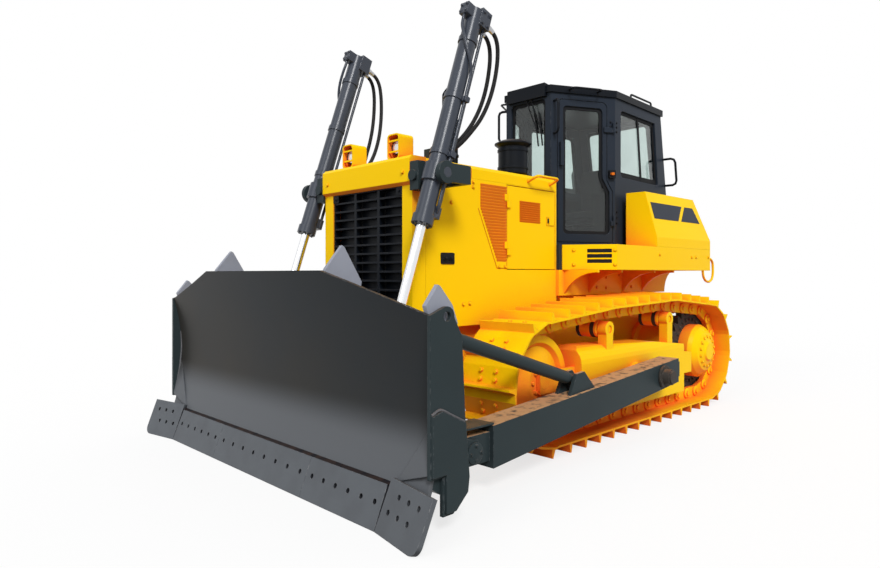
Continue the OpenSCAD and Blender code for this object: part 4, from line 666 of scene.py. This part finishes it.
def finish(name, paint, shade, worn, patches, dusty, rough, wear, radius, bump, scale, dust=SOIL, metal=0.0,
           grain=120.0, grit=0.4, specular=0.1, recess=None, reach=0.5, painted_reflection=None):
    """Material of weathered paint over a worn colour: patches, dust, painted shade in recesses and under faces, a
    painted reflection that lightens a band below a height, edge wear and grain feed one Principled shader."""
    _, tree, shader = new_material(f"dozer_{name}")
    weather = effect(tree, "weather", {
        "Paint": rgba(paint), "Shade": rgba(shade), "Dust": rgba(dust), "Patches": patches, "Dust Amount": dusty,
        "Scale": scale,
    })
    edges = effect(tree, "edge_wear", {"Radius": radius})
    grains = effect(tree, "grain", {"Scale": grain, "Grit": grit})
    body = weather["Color"]
    # Painted shade: the shade colour goes in where little open air reaches and where faces look down
    if recess:
        painted_shade_share = calc(tree, "MULTIPLY", effect(tree, "recess", {"Distance": reach})["Mask"], PAINTED_SHADE_SHARE)
        body = mixed(tree, painted_shade_share, body, rgba(recess))
    # Painted reflection: a lighter band below a height stands in for the pale floor and sky seen in a curved face
    if painted_reflection:
        low, high, bright = painted_reflection
        fade = ramp(tree, upright(tree, "Object"), high, low, kind="SMOOTHSTEP")
        body = mixed(tree, fade, body, rgba(bright))
    dull = ramp(tree, weather["Dust Mask"], 0.0, 1.0, (rough, DUST_ROUGHNESS))
    relief = {"Strength": bump, "Distance": GRAIN_HEIGHT, "Height": grains["Height"], "Normal": edges["Normal"]}
    feed(tree, shader, {
        "Base Color": mixed(tree, calc(tree, "MULTIPLY", edges["Mask"], wear), body, rgba(worn)),
        "Roughness": calc(tree, "MULTIPLY_ADD", grains["Speckle"], SPECKLE_SHARE, dull, clamp=True),
        "Normal": node(tree, "Bump", relief).outputs["Normal"],
        "Metallic": metal,
        "Specular IOR Level": specular,
    })


def glass_finish(name, tint):
    """Clear pane: full transmission, with a tint in soft patches and a faint haze that roughens it."""
    _, tree, shader = new_material(f"dozer_{name}")
    weather = effect(tree, "weather", {
        "Paint": rgba(tint), "Shade": rgba([c * 0.86 for c in tint]), "Patches": 0.5, "Dust Amount": 0.0, "Scale": 3.0,
    })
    haze = effect(tree, "grain", {"Scale": 9.0})["Speckle"]
    feed(tree, shader, {
        "Base Color": weather["Color"],
        "Roughness": ramp(tree, haze, 0.0, 1.0, (0.0, 0.05)),
        "Transmission Weight": 1.0,
        "Specular IOR Level": 0.5,
        "IOR": 1.45,
    })


# Finishes of the slots that don't have one of their own name, and of the nodes that show another than their slot's
FINISH_OF_SLOT = {
    "track_paint": "track_yellow", "cab_paint": "cab_grey", "cylinder_paint": "barrel_paint", "fin_paint": "fin_grey",
    "cast_metal": "dark_casting", "lamp": "lamp_glass",
}
BETTER_FINISH = {
    "moldboard": "blade_face", "push_arms": "arm_paint", "cab_roof": "black_paint", "carrier_rollers": "track_yellow",
}

# Each finish: name; paint, shade and worn colour; patches, dusty, rough, wear, radius, bump and scale; and what else
# differs. A word in place of a colour names one of the paint settings.
CHARCOAL_SHADE, CHARCOAL_WORN = (0.022, 0.030, 0.034), (0.16, 0.17, 0.18)
FINISHES = (
    # The yellow paints take amber as painted shade in recesses and under faces
    ("yellow_paint", "yellow", (0.94, 0.53, 0.002), (0.80, 0.44, 0.01), (0.25, 0.06, 0.30, 0.25, 0.010, 0.03, 0.9),
     {"specular": 0.06, "recess": "amber", "reach": 0.55}),
    ("track_yellow", "yellow", (0.86, 0.42, 0.003), (0.55, 0.26, 0.03), (0.45, 0.20, 0.42, 0.6, 0.006, 0.10, 4.0),
     {"dust": (0.66, 0.33, 0.02), "specular": 0.06, "recess": "amber", "reach": 0.5}),
    # The louvre blades are yellow; this orange is painted shade, standing in for the shade between the blades
    ("louvre_orange", (0.76, 0.21, 0.014), (0.64, 0.17, 0.012), (0.80, 0.36, 0.02),
     (0.3, 0.0, 0.40, 0.3, 0.003, 0.03, 3.0), {"specular": 0.06}),
    ("charcoal_paint", "charcoal", CHARCOAL_SHADE, CHARCOAL_WORN, (0.5, 0.15, 0.34, 0.55, 0.008, 0.05, 1.6),
     {"specular": 0.08, "dust": "dust"}),
    ("arm_paint", "charcoal", CHARCOAL_SHADE, CHARCOAL_WORN, (0.5, 2.0, 0.34, 0.55, 0.008, 0.05, 1.6),
     {"specular": 0.08, "dust": "dust"}),
    # The blade face's lighter band low down is a painted reflection of the pale floor and sky
    ("blade_face", (0.020, 0.024, 0.028), (0.036, 0.031, 0.024), CHARCOAL_WORN,
     (0.7, 0.15, 0.30, 0.5, 0.008, 0.04, 0.5),
     {"specular": 0.07, "dust": "dust", "painted_reflection": (0.42, 0.68, (0.108, 0.116, 0.128))}),
    ("cab_grey", "cab", (0.022, 0.028, 0.038), (0.13, 0.14, 0.16), (0.4, 0.08, 0.36, 0.3, 0.010, 0.03, 2.2), {}),
    ("barrel_paint", "barrel", (0.030, 0.036, 0.050), (0.14, 0.15, 0.18), (0.4, 0.10, 0.22, 0.4, 0.006, 0.03, 3.0),
     {"specular": 0.3}),
    ("chrome_rod", (0.80, 0.81, 0.83), (0.66, 0.67, 0.69), (0.80, 0.81, 0.83), (0.3, 0.0, 0.10, 0.0, 0.004, 0.02, 6.0),
     {"metal": 1.0, "specular": 0.5}),
    # Painted shade: the edge steel goes near black in its creases
    ("edge_steel", "edge", (0.075, 0.080, 0.090), (0.30, 0.30, 0.31), (0.55, 0.15, 0.45, 0.8, 0.006, 0.12, 5.0),
     {"metal": 0.1, "specular": 0.15, "dust": "dust", "recess": (0.012, 0.013, 0.016), "reach": 0.05}),
    ("fin_grey", "fin", (0.22, 0.23, 0.28), (0.55, 0.55, 0.58), (0.4, 0.1, 0.42, 0.4, 0.005, 0.05, 4.0), {}),
    ("dark_casting", (0.055, 0.048, 0.042), (0.030, 0.028, 0.026), (0.24, 0.22, 0.20),
     (0.5, 0.5, 0.55, 0.6, 0.006, 0.20, 5.0), {"grain": 60.0}),
    ("black_paint", "black", (0.010, 0.011, 0.013), (0.10, 0.10, 0.11), (0.4, 0.10, 0.30, 0.3, 0.005, 0.04, 4.0), {}),
    ("black_plastic", (0.010, 0.011, 0.013), (0.018, 0.018, 0.020), (0.06, 0.06, 0.06),
     (0.4, 0.1, 0.55, 0.2, 0.006, 0.15, 4.0), {"grain": 400.0}),
    ("seat_cloth", (0.032, 0.033, 0.037), (0.050, 0.050, 0.056), (0.07, 0.07, 0.08),
     (0.5, 0.1, 0.85, 0.2, 0.006, 0.5, 7.0), {"grain": 700.0, "grit": 1.0}),
    ("hose_rubber", (0.016, 0.016, 0.017), (0.028, 0.026, 0.025), (0.05, 0.05, 0.05),
     (0.5, 0.15, 0.48, 0.2, 0.003, 0.15, 8.0), {"grain": 300.0}),
    ("pale_steel", (0.52, 0.53, 0.55), (0.36, 0.37, 0.39), (0.70, 0.70, 0.72), (0.4, 0.1, 0.28, 0.4, 0.003, 0.05, 9.0),
     {"metal": 0.8}),
    ("weld_steel", (0.13, 0.13, 0.14), (0.08, 0.08, 0.085), (0.30, 0.30, 0.30), (0.6, 0.3, 0.50, 0.6, 0.003, 0.5, 20.0),
     {"metal": 0.3, "grain": 220.0}),
    ("orange_plastic", (0.72, 0.17, 0.012), (0.50, 0.11, 0.010), (0.75, 0.30, 0.08),
     (0.3, 0.1, 0.40, 0.2, 0.003, 0.08, 12.0), {"grain": 300.0}),
    ("stripe_grey", (0.032, 0.038, 0.052), (0.024, 0.028, 0.040), (0.12, 0.12, 0.13),
     (0.4, 0.1, 0.42, 0.2, 0.002, 0.03, 4.0), {}),
    ("lamp_glass", (0.80, 0.82, 0.84), (0.60, 0.62, 0.65), (0.85, 0.85, 0.86), (0.5, 0.0, 0.12, 0.2, 0.003, 0.2, 30.0),
     {"metal": 0.7, "grain": 90.0}),
)


class DOZER_OT_finishes(bpy.types.Operator):
    """Makes the finishes and paints every solid"""

    bl_idname = "dozer.finishes"
    bl_label = "Finishes"

    def execute(self, context):
        settings = context.scene.dozer_paint

        def chosen(value):
            return tuple(getattr(settings, value)) if isinstance(value, str) else value

        for make_group in (weather_group, edge_group, grain_group, recess_group):
            make_group()
        for name, paint, shade, worn, numbers, rest in FINISHES:
            others = {key: chosen(value) for key, value in rest.items()}
            finish(name, chosen(paint), shade, worn, *numbers, **others)
        glass_finish("window_glass", settings.glass)
        for part in frame["record"]["subparts"]:
            slot = part["material_slot"]
            paints = NODES[part["node"]].data.materials
            paints.clear()
            paints.append(finished(BETTER_FINISH.get(part["node"], FINISH_OF_SLOT.get(slot, slot))))
        return {"FINISHED"}


def hose_line(route, sign):
    """Smooth middle line of a hose, on the left or mirrored to the right."""
    return smooth_line(np.array(route) * [1, sign, 1], 4)


class DOZER_OT_hoses(bpy.types.Operator):
    """Makes the four lift hoses, curved between the hood and the swinging barrels"""

    bl_idname = "dozer.hoses"
    bl_label = "Hoses"

    def execute(self, context):
        sizes = context.scene.dozer_fittings
        for side, sign in SIDES:
            for which, route in HOSES:
                line = hose_line(route, sign)
                name = f"hose_{side}_{which}"
                made = piece("lift_" + name, tube(line, sizes.hose_d / 2, sizes.hose_sides), None, "hose_rubber")
                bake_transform(made)
                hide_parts(name)
        return {"FINISHED"}


def cushion(low, high, crown, power=0.22, steps=48):
    """Crowned box between two corners: a superellipsoid of small power, pushed out in the middle of its broad faces."""
    low, high = np.asarray(low, float), np.asarray(high, float)
    u = np.linspace(-0.4999 * np.pi, 0.4999 * np.pi, steps)
    w = np.linspace(-np.pi, np.pi, 2 * steps, endpoint=False)
    u, w = np.meshgrid(u, w, indexing="ij")

    def bent(x):
        return np.sign(x) * np.abs(x) ** power

    unit = np.stack([bent(np.cos(u)) * bent(np.cos(w)), bent(np.cos(u)) * bent(np.sin(w)), bent(np.sin(u))], -1)
    middle = (1 - unit[..., 0] ** 2) * (1 - unit[..., 1] ** 2)
    half = (high - low) / 2 - [0, 0, crown]
    points = (low + high) / 2 + unit * half
    points[..., 2] += np.where(unit[..., 2] > 0, 1, 0) * crown * middle
    return points.reshape(-1, 3), capped(steps, 2 * steps)


class DOZER_OT_cushions(bpy.types.Operator):
    """Makes the seat's cushion and backrest as crowned pads"""

    bl_idname = "dozer.cushions"
    bl_label = "Cushions"

    def execute(self, context):
        crown = context.scene.dozer_fittings.crown
        seat = cushion(at(*CUSHION_LOW), at(*CUSHION_HIGH), crown)
        flat, faces = cushion((-0.30, -0.23, 0.0), (0.30, 0.23, 0.088), crown)
        back = flat[:, ::-1] + at(*BACKREST_AT), [face[::-1] for face in faces]
        for name, shape in (("seat_pad", seat), ("backrest_pad", back)):
            pad = piece(name, shape, "chassis", "seat_cloth", angle=60)
            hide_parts("seat_cushions")
        return {"FINISHED"}


class DOZER_OT_tracks(bpy.types.Operator):
    """Adds carrier rings, link bosses, shoe bolts, hub bolts and sprocket bolts to the tracks"""

    bl_idname = "dozer.tracks"
    bl_label = "Track fittings"

    def execute(self, context):
        rail, bolt_steps, bolt_side = 0.100, (-0.062, 0.004), 0.075
        boss, pin = ((0.056, -0.001), (0.056, 0.012), (0.045, 0.019)), ((0.024, 0.010), (0.024, 0.031))
        bosses = joined([
            lathe(profile, sides, (0, side * rail, 0), (0, side, 0))
            for side in (1, -1)
            for profile, sides in ((boss, 12), (pin, 8))
        ])
        head = lathe(((0.018, -0.001), (0.018, 0.012), (0.014, 0.018)), 6, (0, 0, 0), UPWARDS)
        heads = repeated(head, [(u, y, SHOE_FACE / 1000) for u in bolt_steps for y in (-bolt_side, bolt_side)])
        idler = at(IDLER_AT, TRACK_SIDE + IDLER_HUB, CHAIN_HEIGHT + IDLER_RADIUS)
        drive, teeth = (
            at(SPROCKET_AT, TRACK_SIDE + out, CHAIN_HEIGHT + WHEEL_RADIUS) for out in (DRIVE_HUB, SPROCKET_FACE)
        )
        hubs = joined([
            bolts(ring_of(8, 0.105, idler, OUTWARDS), OUTWARDS, 0.030),
            bolts(ring_of(14, 0.160, drive, OUTWARDS), OUTWARDS, 0.030),
        ])
        rings = joined([
            hoop(box_outline(0.079, 0.0818, h, h + wide), 32, at(d, TRACK_SIDE, z - CARRIER_DROP), OUTWARDS)
            for d, z in CARRIERS
            for h, wide in ((-0.110, 0.035), (0.035, 0.040))
        ])
        pair((
            ("carrier_rings", rings, "chassis", "cast_metal"),
            ("link_bosses", repeated(bosses, *chain_places(0.5)), "chassis", "track_paint"),
            ("shoe_bolts", repeated(heads, *chain_places(0.0)), "chassis", "track_paint"),
            ("hub_bolts", hubs, "chassis", "yellow_paint"),
            ("sprocket_bolts", bolts(ring_of(26, 0.345, teeth, OUTWARDS), OUTWARDS, 0.034), "chassis", "cast_metal"),
        ))
        return {"FINISHED"}


def louvre(face, d0, d1, z, pitch):
    """Blade over one slot: a wedge that stands out at its top edge and falls back to the wall below."""
    wedge = ((1, z - 0.30 * pitch), (1, z + 0.66 * pitch), (-11, z + 0.62 * pitch), (-11, z + 0.52 * pitch))
    return slab(wedge, lambda v, d, up: face(d, v, up), d0, d1)


class DOZER_OT_hood(bpy.types.Operator):
    """Adds louvre and vent blades, bolts, switch plates, grille lugs, lamp fittings, latches and straps to the hood"""

    bl_idname = "dozer.hood"
    bl_label = "Hood fittings"

    def execute(self, context):
        width = context.scene.dozer_fittings.bolt
        face, grille = on_side(HOOD_SIDE), on_front(GRILLE_AT)
        pitch = (LOUVRE_TOP - LOUVRE_FOOT) / LOUVRE_COUNT
        louvre_z = LOUVRE_FOOT + pitch * np.arange(LOUVRE_COUNT)
        louvre_d = LOUVRE_FRONT + LOUVRE_SLANT * np.clip(LOUVRE_KNEE - louvre_z, 0, None)
        louvres = joined([louvre(face, d, LOUVRE_REAR, z, pitch) for d, z in zip(louvre_d, louvre_z)])
        vents = joined([
            louvre(face, VENT_FRONT, VENT_REAR, VENT_FOOT + VENT_PITCH * i, VENT_PITCH) for i in range(VENT_COUNT)
        ])
        panel_bolts = bolts(spots(HOOD_SIDE, HOOD_BOLTS), OUTWARDS, width)
        brow_bolt = bolts(at(*BROW_BOLT), FORWARD, width)
        knob = ((0.024, -0.001), (0.024, 0.006), (0.012, 0.006), (0.012, 0.020), (0.009, 0.023))
        switches = joined([
            slab(box_outline(*SWITCH_PLATE, 14), face, -7, 1),
            *(lathe(knob, 16, place, OUTWARDS) for place in spots(HOOD_SIDE + 7, SWITCH_KNOBS)),
        ])
        bars = joined([slab(box_outline(*bar), on_front(BARS_AT), -4, 4) for bar in LAMP_BARS])
        dome = ((0.052, -0.002), (0.052, 0.006), (0.038, 0.013), (0.018, 0.017))
        lens = lathe(dome, 28, at(LENS_AT, *LAMP_MIDDLE), FORWARD)
        rim = hoop(box_outline(0.050, 0.060, 0.000, 0.012), 28, at(RIM_AT, *LAMP_MIDDLE), FORWARD)
        lever = slab(box_outline(*LATCH_LEVER, 5), face, -11, -1)
        lugs = joined([slab(box_outline(*lug, 12), grille, -9, 1) for lug in GRILLE_LUGS])
        lug_middles = [grille((a + b) / 2, -9, (low + high) / 2) for a, b, low, high in GRILLE_LUGS]
        pair((
            # Louvre and vent blades take the orange of painted shade
            ("louvre_blades", louvres, "chassis", "yellow_paint", "louvre_orange"),
            ("vent_blades", vents, "engine_cover_{}", "yellow_paint", "louvre_orange"),
            ("hood_bolts", joined([panel_bolts, brow_bolt]), "chassis", "yellow_paint"),
            ("switch_plate", switches, "chassis", "black_plastic"),
            ("lamp_bars", bars, "chassis", "yellow_paint"),
            ("lamp_lens", lens, "chassis", "lamp"),
            ("lamp_rim", rim, "chassis", "black_plastic"),
            ("grille_lugs", joined([lugs, bolts(lug_middles, FORWARD, width)]), "chassis", "black_paint"),
            ("latch_lever", lever, "engine_cover_{}", "black_plastic"),
        ))
        straps = joined([
            hoop(box_outline(r - 0.002, r + 0.008, h, h + 0.022), 48, at(*place, HOOD_TOP), UPWARDS)
            for r, place, heights in STRAPS
            for h in heights
        ])
        piece("stack_straps", straps, "chassis", "black_paint")
        return {"FINISHED"}


class DOZER_OT_cab(bpy.types.Operator):
    """Adds pane borders, slider bars, wipers, door catches and hinge bolts to the cab"""

    bl_idname = "dozer.cab"
    bl_label = "Cab fittings"

    def execute(self, context):
        wide = 1000 * context.scene.dozer_fittings.seal
        front, door, flank = (on_wall(*CAB_CORNERS[k : k + 2]) for k in range(3))

        def border(window, place, glass_v):
            outer, inner = (rounded(inset(window, g), PANE_RADIUS) for g in (0.6, wide))
            return band(outer, inner, place, glass_v - 6, glass_v + 0.2)

        slider = joined([slab(SLIDER_BAR, flank, 20, 30.2), slab(SLIDER_SILL, flank, 23, 30.2)])
        catch = slab(box_outline(*DOOR_CATCH, 12), door, -38, 1)
        tip = slab(box_outline(*CATCH_TIP, 6), door, -66, -37)
        hinge = joined([
            bolts(door(DOOR_ROW, 0, UPPER_HINGE), outward(door), 0.020),
            bolts(flank(WALL_ROW, 0, UPPER_HINGE + LOWER_HINGE), outward(flank), 0.020),
        ])
        pair((
            ("door_pane_border", border(DOOR_WINDOW, door, DOOR_GLASS), "cab_door_{}", "black_plastic"),
            ("side_pane_border", border(SIDE_WINDOW, flank, WALL_GLASS), "chassis", "black_plastic"),
            ("side_slider", slider, "chassis", "black_plastic"),
            ("door_catch", catch, "chassis", "black_plastic"),
            ("catch_tip", tip, "chassis", "black_plastic", "orange_plastic"),
            ("hinge_bolts", hinge, "chassis", "cab_paint", "black_paint"),
        ))
        piece("front_pane_border", border(FRONT_WINDOW, front, WALL_GLASS), "chassis", "black_plastic")
        piece("rear_pane_border", border(REAR_WINDOW, on_rear, WALL_GLASS), "chassis", "black_plastic")
        hub = ((0.022, -0.002), (0.022, 0.018), (0.014, 0.026))
        wipers = []
        for pivot, foot in WIPERS:
            arm = front([pivot, pivot + 6, foot], [-16, -14, 16], [WIPER_TOP, WIPER_TOP - 23, WIPER_FOOT])
            blade = front([foot - 22, foot, foot + 24], 20, [WIPER_FOOT + 165, WIPER_FOOT, WIPER_FOOT - 185])
            wipers += [
                tube(smooth_line(arm, 6), 0.007, 8), lathe(hub, 14, front(pivot, 0, WIPER_TOP), outward(front)),
                tube(smooth_line(blade, 4), 0.008, 8),
            ]
        piece("front_wipers", joined(wipers), "chassis", "black_plastic")
        return {"FINISHED"}


class DOZER_OT_fenders(bpy.types.Operator):
    """Adds rear handles, black fillings of painted shade in the nose slots, fender and hull bolts, and the bare dark
    bands on the side tanks
    """

    bl_idname = "dozer.fenders"
    bl_label = "Fender fittings"

    def execute(self, context):
        width = context.scene.dozer_fittings.bolt
        nose = on_wall(*NOSE_CORNERS)
        heads = joined([
            bolts(spots(FENDER_SIDE, FENDER_BOLTS), OUTWARDS, width),
            bolts(spots(HULL_SIDE, HULL_BOLTS), OUTWARDS, width),
            bolts([at(*place) for place in NOSE_BOLTS], outward(nose), width),
        ])
        # Painted shade: black fillings set back in the nose slots stand in for the shade inside them
        slots = joined([
            slab(box_outline(*SLOT_ENDS, z, z + SLOT_TALL, 9), nose, 4, FENDER_PLATE) for z in SLOT_HEIGHTS
        ])
        handle = tube(smooth_line(spots(HANDLE_SIDE, HANDLE_ROUTE), 4), 0.014, 10)
        bands = joined([slab(band_outline, on_tank, -3, 1) for band_outline in TANK_BANDS])
        pair((
            ("rear_handle", handle, "chassis", "yellow_paint"),
            ("fender_slots", slots, "chassis", "black_plastic"),
            ("fender_bolts", heads, "chassis", "yellow_paint"),
            ("tank_bands", bands, "chassis", "black_paint", "stripe_grey"),
        ))
        return {"FINISHED"}


class DOZER_OT_cylinders(bpy.types.Operator):
    """Adds port blocks, bent pipes, clamps, bolts and hose ferrules to the lift cylinders"""

    bl_idname = "dozer.cylinders"
    bl_label = "Cylinder fittings"

    def execute(self, context):
        origin = on_barrel(0, 0, 0)
        forward, up = on_barrel(1000, 0, 0) - origin, on_barrel(0, 0, 1000) - origin
        clamps = [hoop(box_outline(0.069, 0.078, h, h + 0.045), 32, origin, up) for h in (0.150, 0.620, 1.120)]
        saddles = [slab(box_outline(-80, -28, z, z + 45, 8), on_barrel, 52, 100) for z in (150, 620)]
        block = joined([
            slab(box_outline(*PORT_BLOCK, 10), lambda y, v, z: on_barrel(v, y, z), 30, PORT_FACE),
            *clamps,
            *saddles,
            bolts(on_barrel(PORT_FACE, [-27, 27, -27, 27], [1348, 1348, 1406, 1406]), forward, 0.024),
            bolts(on_barrel([-92, -28, -92, -28], 80, [1316, 1316, 1410, 1410]), OUTWARDS, 0.026),
            bolts(ring_of(8, 0.062, on_barrel(0, 0, -BARREL_DOWN), up), -up, 0.020),
        ])
        pipe = tube(smooth_line(on_barrel(*PIPE_ROUTE), 6), 0.0125, 12)
        radii = (0.026, 0.026, 0.0265, 0.0215, 0.0215, 0.0205)
        for side, sign in SIDES:
            barrel = f"barrel_{side}"
            for name, shape in (("port_block", block), ("lift_pipe", pipe)):
                piece(f"{name}_{side}", mirrored(shape, sign), barrel, "cylinder_paint")
            for which, route in HOSES:
                line = hose_line(route, sign)
                for name, path, body in (("ferrule", line[:6], barrel), ("block_ferrule", line[-1:-7:-1], "chassis")):
                    piece(f"{name}_{which}_{side}", tube(path, radii, 12), body, "chrome_rod", "pale_steel")
        return {"FINISHED"}


class DOZER_OT_blade(bpy.types.Operator):
    """Adds a black strip of painted shadow above the cutting edges, dark plates over the forks that partly stand in for
    shade, corner plates, weld beads and pin caps to the blade
    """

    bl_idname = "dozer.blade"
    bl_label = "Blade fittings"

    def execute(self, context):
        # A dark plate over the fork: partly a plausible guard, partly a sheet that darkens the gap between blade and
        # arm as painted shade
        shade_cover = prism([at(d, ARM_SIDE + y, FORK_TOP) for d, y in FORK_SHADE_COVER], (0, 0, -COVER_THICK))
        corner = prism([at(*place) for place in CORNER_PLATE], (-COVER_THICK, 0, 0))
        beads = joined([
            tube(smooth_line(spots(BLADE_HALF + 27, CHEVRON_WELD), 5), 0.009, 8),
            tube(smooth_line(spots(BLADE_HALF - 2, SEAM_WELD), 6), 0.008, 8),
        ])
        caps = joined([
            *(
                lathe(((r, -0.002), (r, 0.010), (0.86 * r, 0.016)), 24, at(d, y + way * half, z), (0, way, 0))
                for d, y, z, half, r in PINS
                for way in (1, -1)
            ),
            bolts(ring_of(4, 0.046, at(800, ARM_SIDE + 125, 320), OUTWARDS), OUTWARDS, 0.022),
            bolts(ring_of(3, 0.036, at(650, LIFT_SIDE + 95, 700), OUTWARDS), OUTWARDS, 0.020),
        ])
        # Painted shadow: a black strip on the cutting edges' top face stands in for the shadow gap under the blade's
        # face
        shadow_strip = prism(spots(EDGE_HALF, EDGE_SHADOW_STRIP), (0, -2 * EDGE_HALF / 1000, 0))
        piece("edge_joint", shadow_strip, "blade", "black_paint")
        pair((
            ("fork_cover", shade_cover, "blade", "charcoal_paint"),
            ("corner_plate", corner, "blade", "charcoal_paint", "blade_face"),
            ("weld_beads", beads, "blade", "edge_steel", "weld_steel"),
            ("pin_caps", caps, "blade", "charcoal_paint"),
        ))
        return {"FINISHED"}


# Stage: the eye, its turn from straight ahead in degrees and its shift; the lamps as (name, place, share of the key
# lamp's strength, angle); the floor's half width and the share of it that glows where it is seen
EYE, EYE_TURN, EYE_SHIFT, SENSOR_WIDTH, FAR_CLIP = (4.987, 4.314, 1.449), 45.10, (-0.0167, -0.0112), 36.0, 200
LAMPS = (("key", (5.0, 8.0, 8.0), 1.0, 0.30), ("front", (10.0, 0.0, 5.0), 0.26, 0.6))
FLOOR_HALF, FLOOR_GLOW = 60.0, 0.74


def looked_at(tree):
    """Value that is one on rays from the camera, straight or by way of gloss and glass, and else nothing."""
    rays = node(tree, "LightPath").outputs
    straight = calc(tree, "MAXIMUM", rays["Is Camera Ray"], rays["Is Glossy Ray"])
    return calc(tree, "MAXIMUM", straight, rays["Is Transmission Ray"])


class DOZER_OT_stage(bpy.types.Operator):
    """Makes the pale floor, the soft light and the camera"""

    bl_idname = "dozer.stage"
    bl_label = "Stage"

    def execute(self, context):
        scene = context.scene
        settings = scene.dozer_stage
        scene.view_settings.view_transform = "Standard"
        self.world(scene, settings)
        self.floor(scene, settings)
        self.lamps(scene, settings)
        camera = bpy.data.cameras.new("camera")
        camera.lens, camera.sensor_width, camera.clip_end = settings.lens, SENSOR_WIDTH, FAR_CLIP
        camera.shift_x, camera.shift_y = EYE_SHIFT
        eye = bpy.data.objects.new("camera", camera)
        eye.location = EYE
        eye.rotation_euler = (np.pi / 2, 0, np.pi / 2 + np.radians(EYE_TURN))
        scene.collection.objects.link(eye)
        scene.camera = eye
        return {"FINISHED"}

    def world(self, scene, settings):
        """Soft light from all round, which the camera sees as white."""
        world = bpy.data.worlds.new("studio")
        world.use_nodes = True
        tree = world.node_tree
        soft, seen = tree.nodes["Background"], node(tree, "Background", {"Color": WHITE})
        feed(tree, soft, {"Color": WHITE, "Strength": settings.sky})
        mix = node(tree, "MixShader", {0: looked_at(tree), 1: soft.outputs[0], 2: seen.outputs[0]})
        feed(tree, tree.nodes["World Output"], {"Surface": mix.outputs[0]})
        scene.world = world

    def floor(self, scene, settings):
        """Wide floor under the machine, paler where it is seen than in the light that it sends back up."""
        made, tree, shader = new_material("floor")
        seen = looked_at(tree)
        colour = mixed(tree, seen, rgba(settings.bounce), rgba(settings.floor))
        feed(tree, shader, {"Base Color": colour, "Roughness": 0.9, "Specular IOR Level": 0.0})
        share, glow = calc(tree, "MULTIPLY", seen, FLOOR_GLOW), node(tree, "Emission")
        mix = node(tree, "MixShader", {0: share, 1: shader.outputs[0], 2: glow.outputs[0]})
        feed(tree, tree.nodes["Material Output"], {"Surface": mix.outputs[0]})
        mesh = bpy.data.meshes.new("floor")
        far, low = FLOOR_HALF, float(CAD_BOX[0][2])
        mesh.from_pydata([(-far, -far, low), (far, -far, low), (far, far, low), (-far, far, low)], [], [(0, 1, 2, 3)])
        mesh.materials.append(made)
        plane = bpy.data.objects.new("floor", mesh)
        scene.collection.objects.link(plane)

    def lamps(self, scene, settings):
        """Main lamp from the front left, and a weaker one from the front."""
        for name, place, share, angle in LAMPS:
            lamp = bpy.data.lights.new(name, "SUN")
            lamp.energy, lamp.angle = settings.key * share, angle
            sun = bpy.data.objects.new(name, lamp)
            sun.rotation_euler = Vector(place).to_track_quat("Z", "Y").to_euler()
            sun.location = place
            scene.collection.objects.link(sun)


class DOZER_PT_dressing(bpy.types.Panel):
    """Lists the dressing steps"""

    bl_idname = "DOZER_PT_dressing"
    bl_label = "Bulldozer dressing"
    bl_space_type = "VIEW_3D"
    bl_region_type = "UI"
    bl_category = "Dozer"

    def draw(self, context):
        for step in STEPS:
            self.layout.operator(step.bl_idname)


STEPS = (
    DOZER_OT_stage, DOZER_OT_finishes, DOZER_OT_hoses, DOZER_OT_cushions, DOZER_OT_tracks, DOZER_OT_hood, DOZER_OT_cab,
    DOZER_OT_fenders, DOZER_OT_cylinders, DOZER_OT_blade,
)
SETTINGS = (("dozer_paint", PaintSettings), ("dozer_fittings", FittingSettings), ("dozer_stage", StageSettings))


def register():
    for group in (*(g for _, g in SETTINGS), *STEPS, DOZER_PT_dressing):
        bpy.utils.register_class(group)
    for name, group in SETTINGS:
        setattr(bpy.types.Scene, name, PointerProperty(type=group))


def unregister():
    for name, _ in SETTINGS:
        delattr(bpy.types.Scene, name)
    for group in reversed((*(g for _, g in SETTINGS), *STEPS, DOZER_PT_dressing)):
        bpy.utils.unregister_class(group)


def main():
    register()
    for step in STEPS:
        family, name = step.bl_idname.split(".")
        getattr(getattr(bpy.ops, family), name)()


if __name__ == "__main__":
    main()
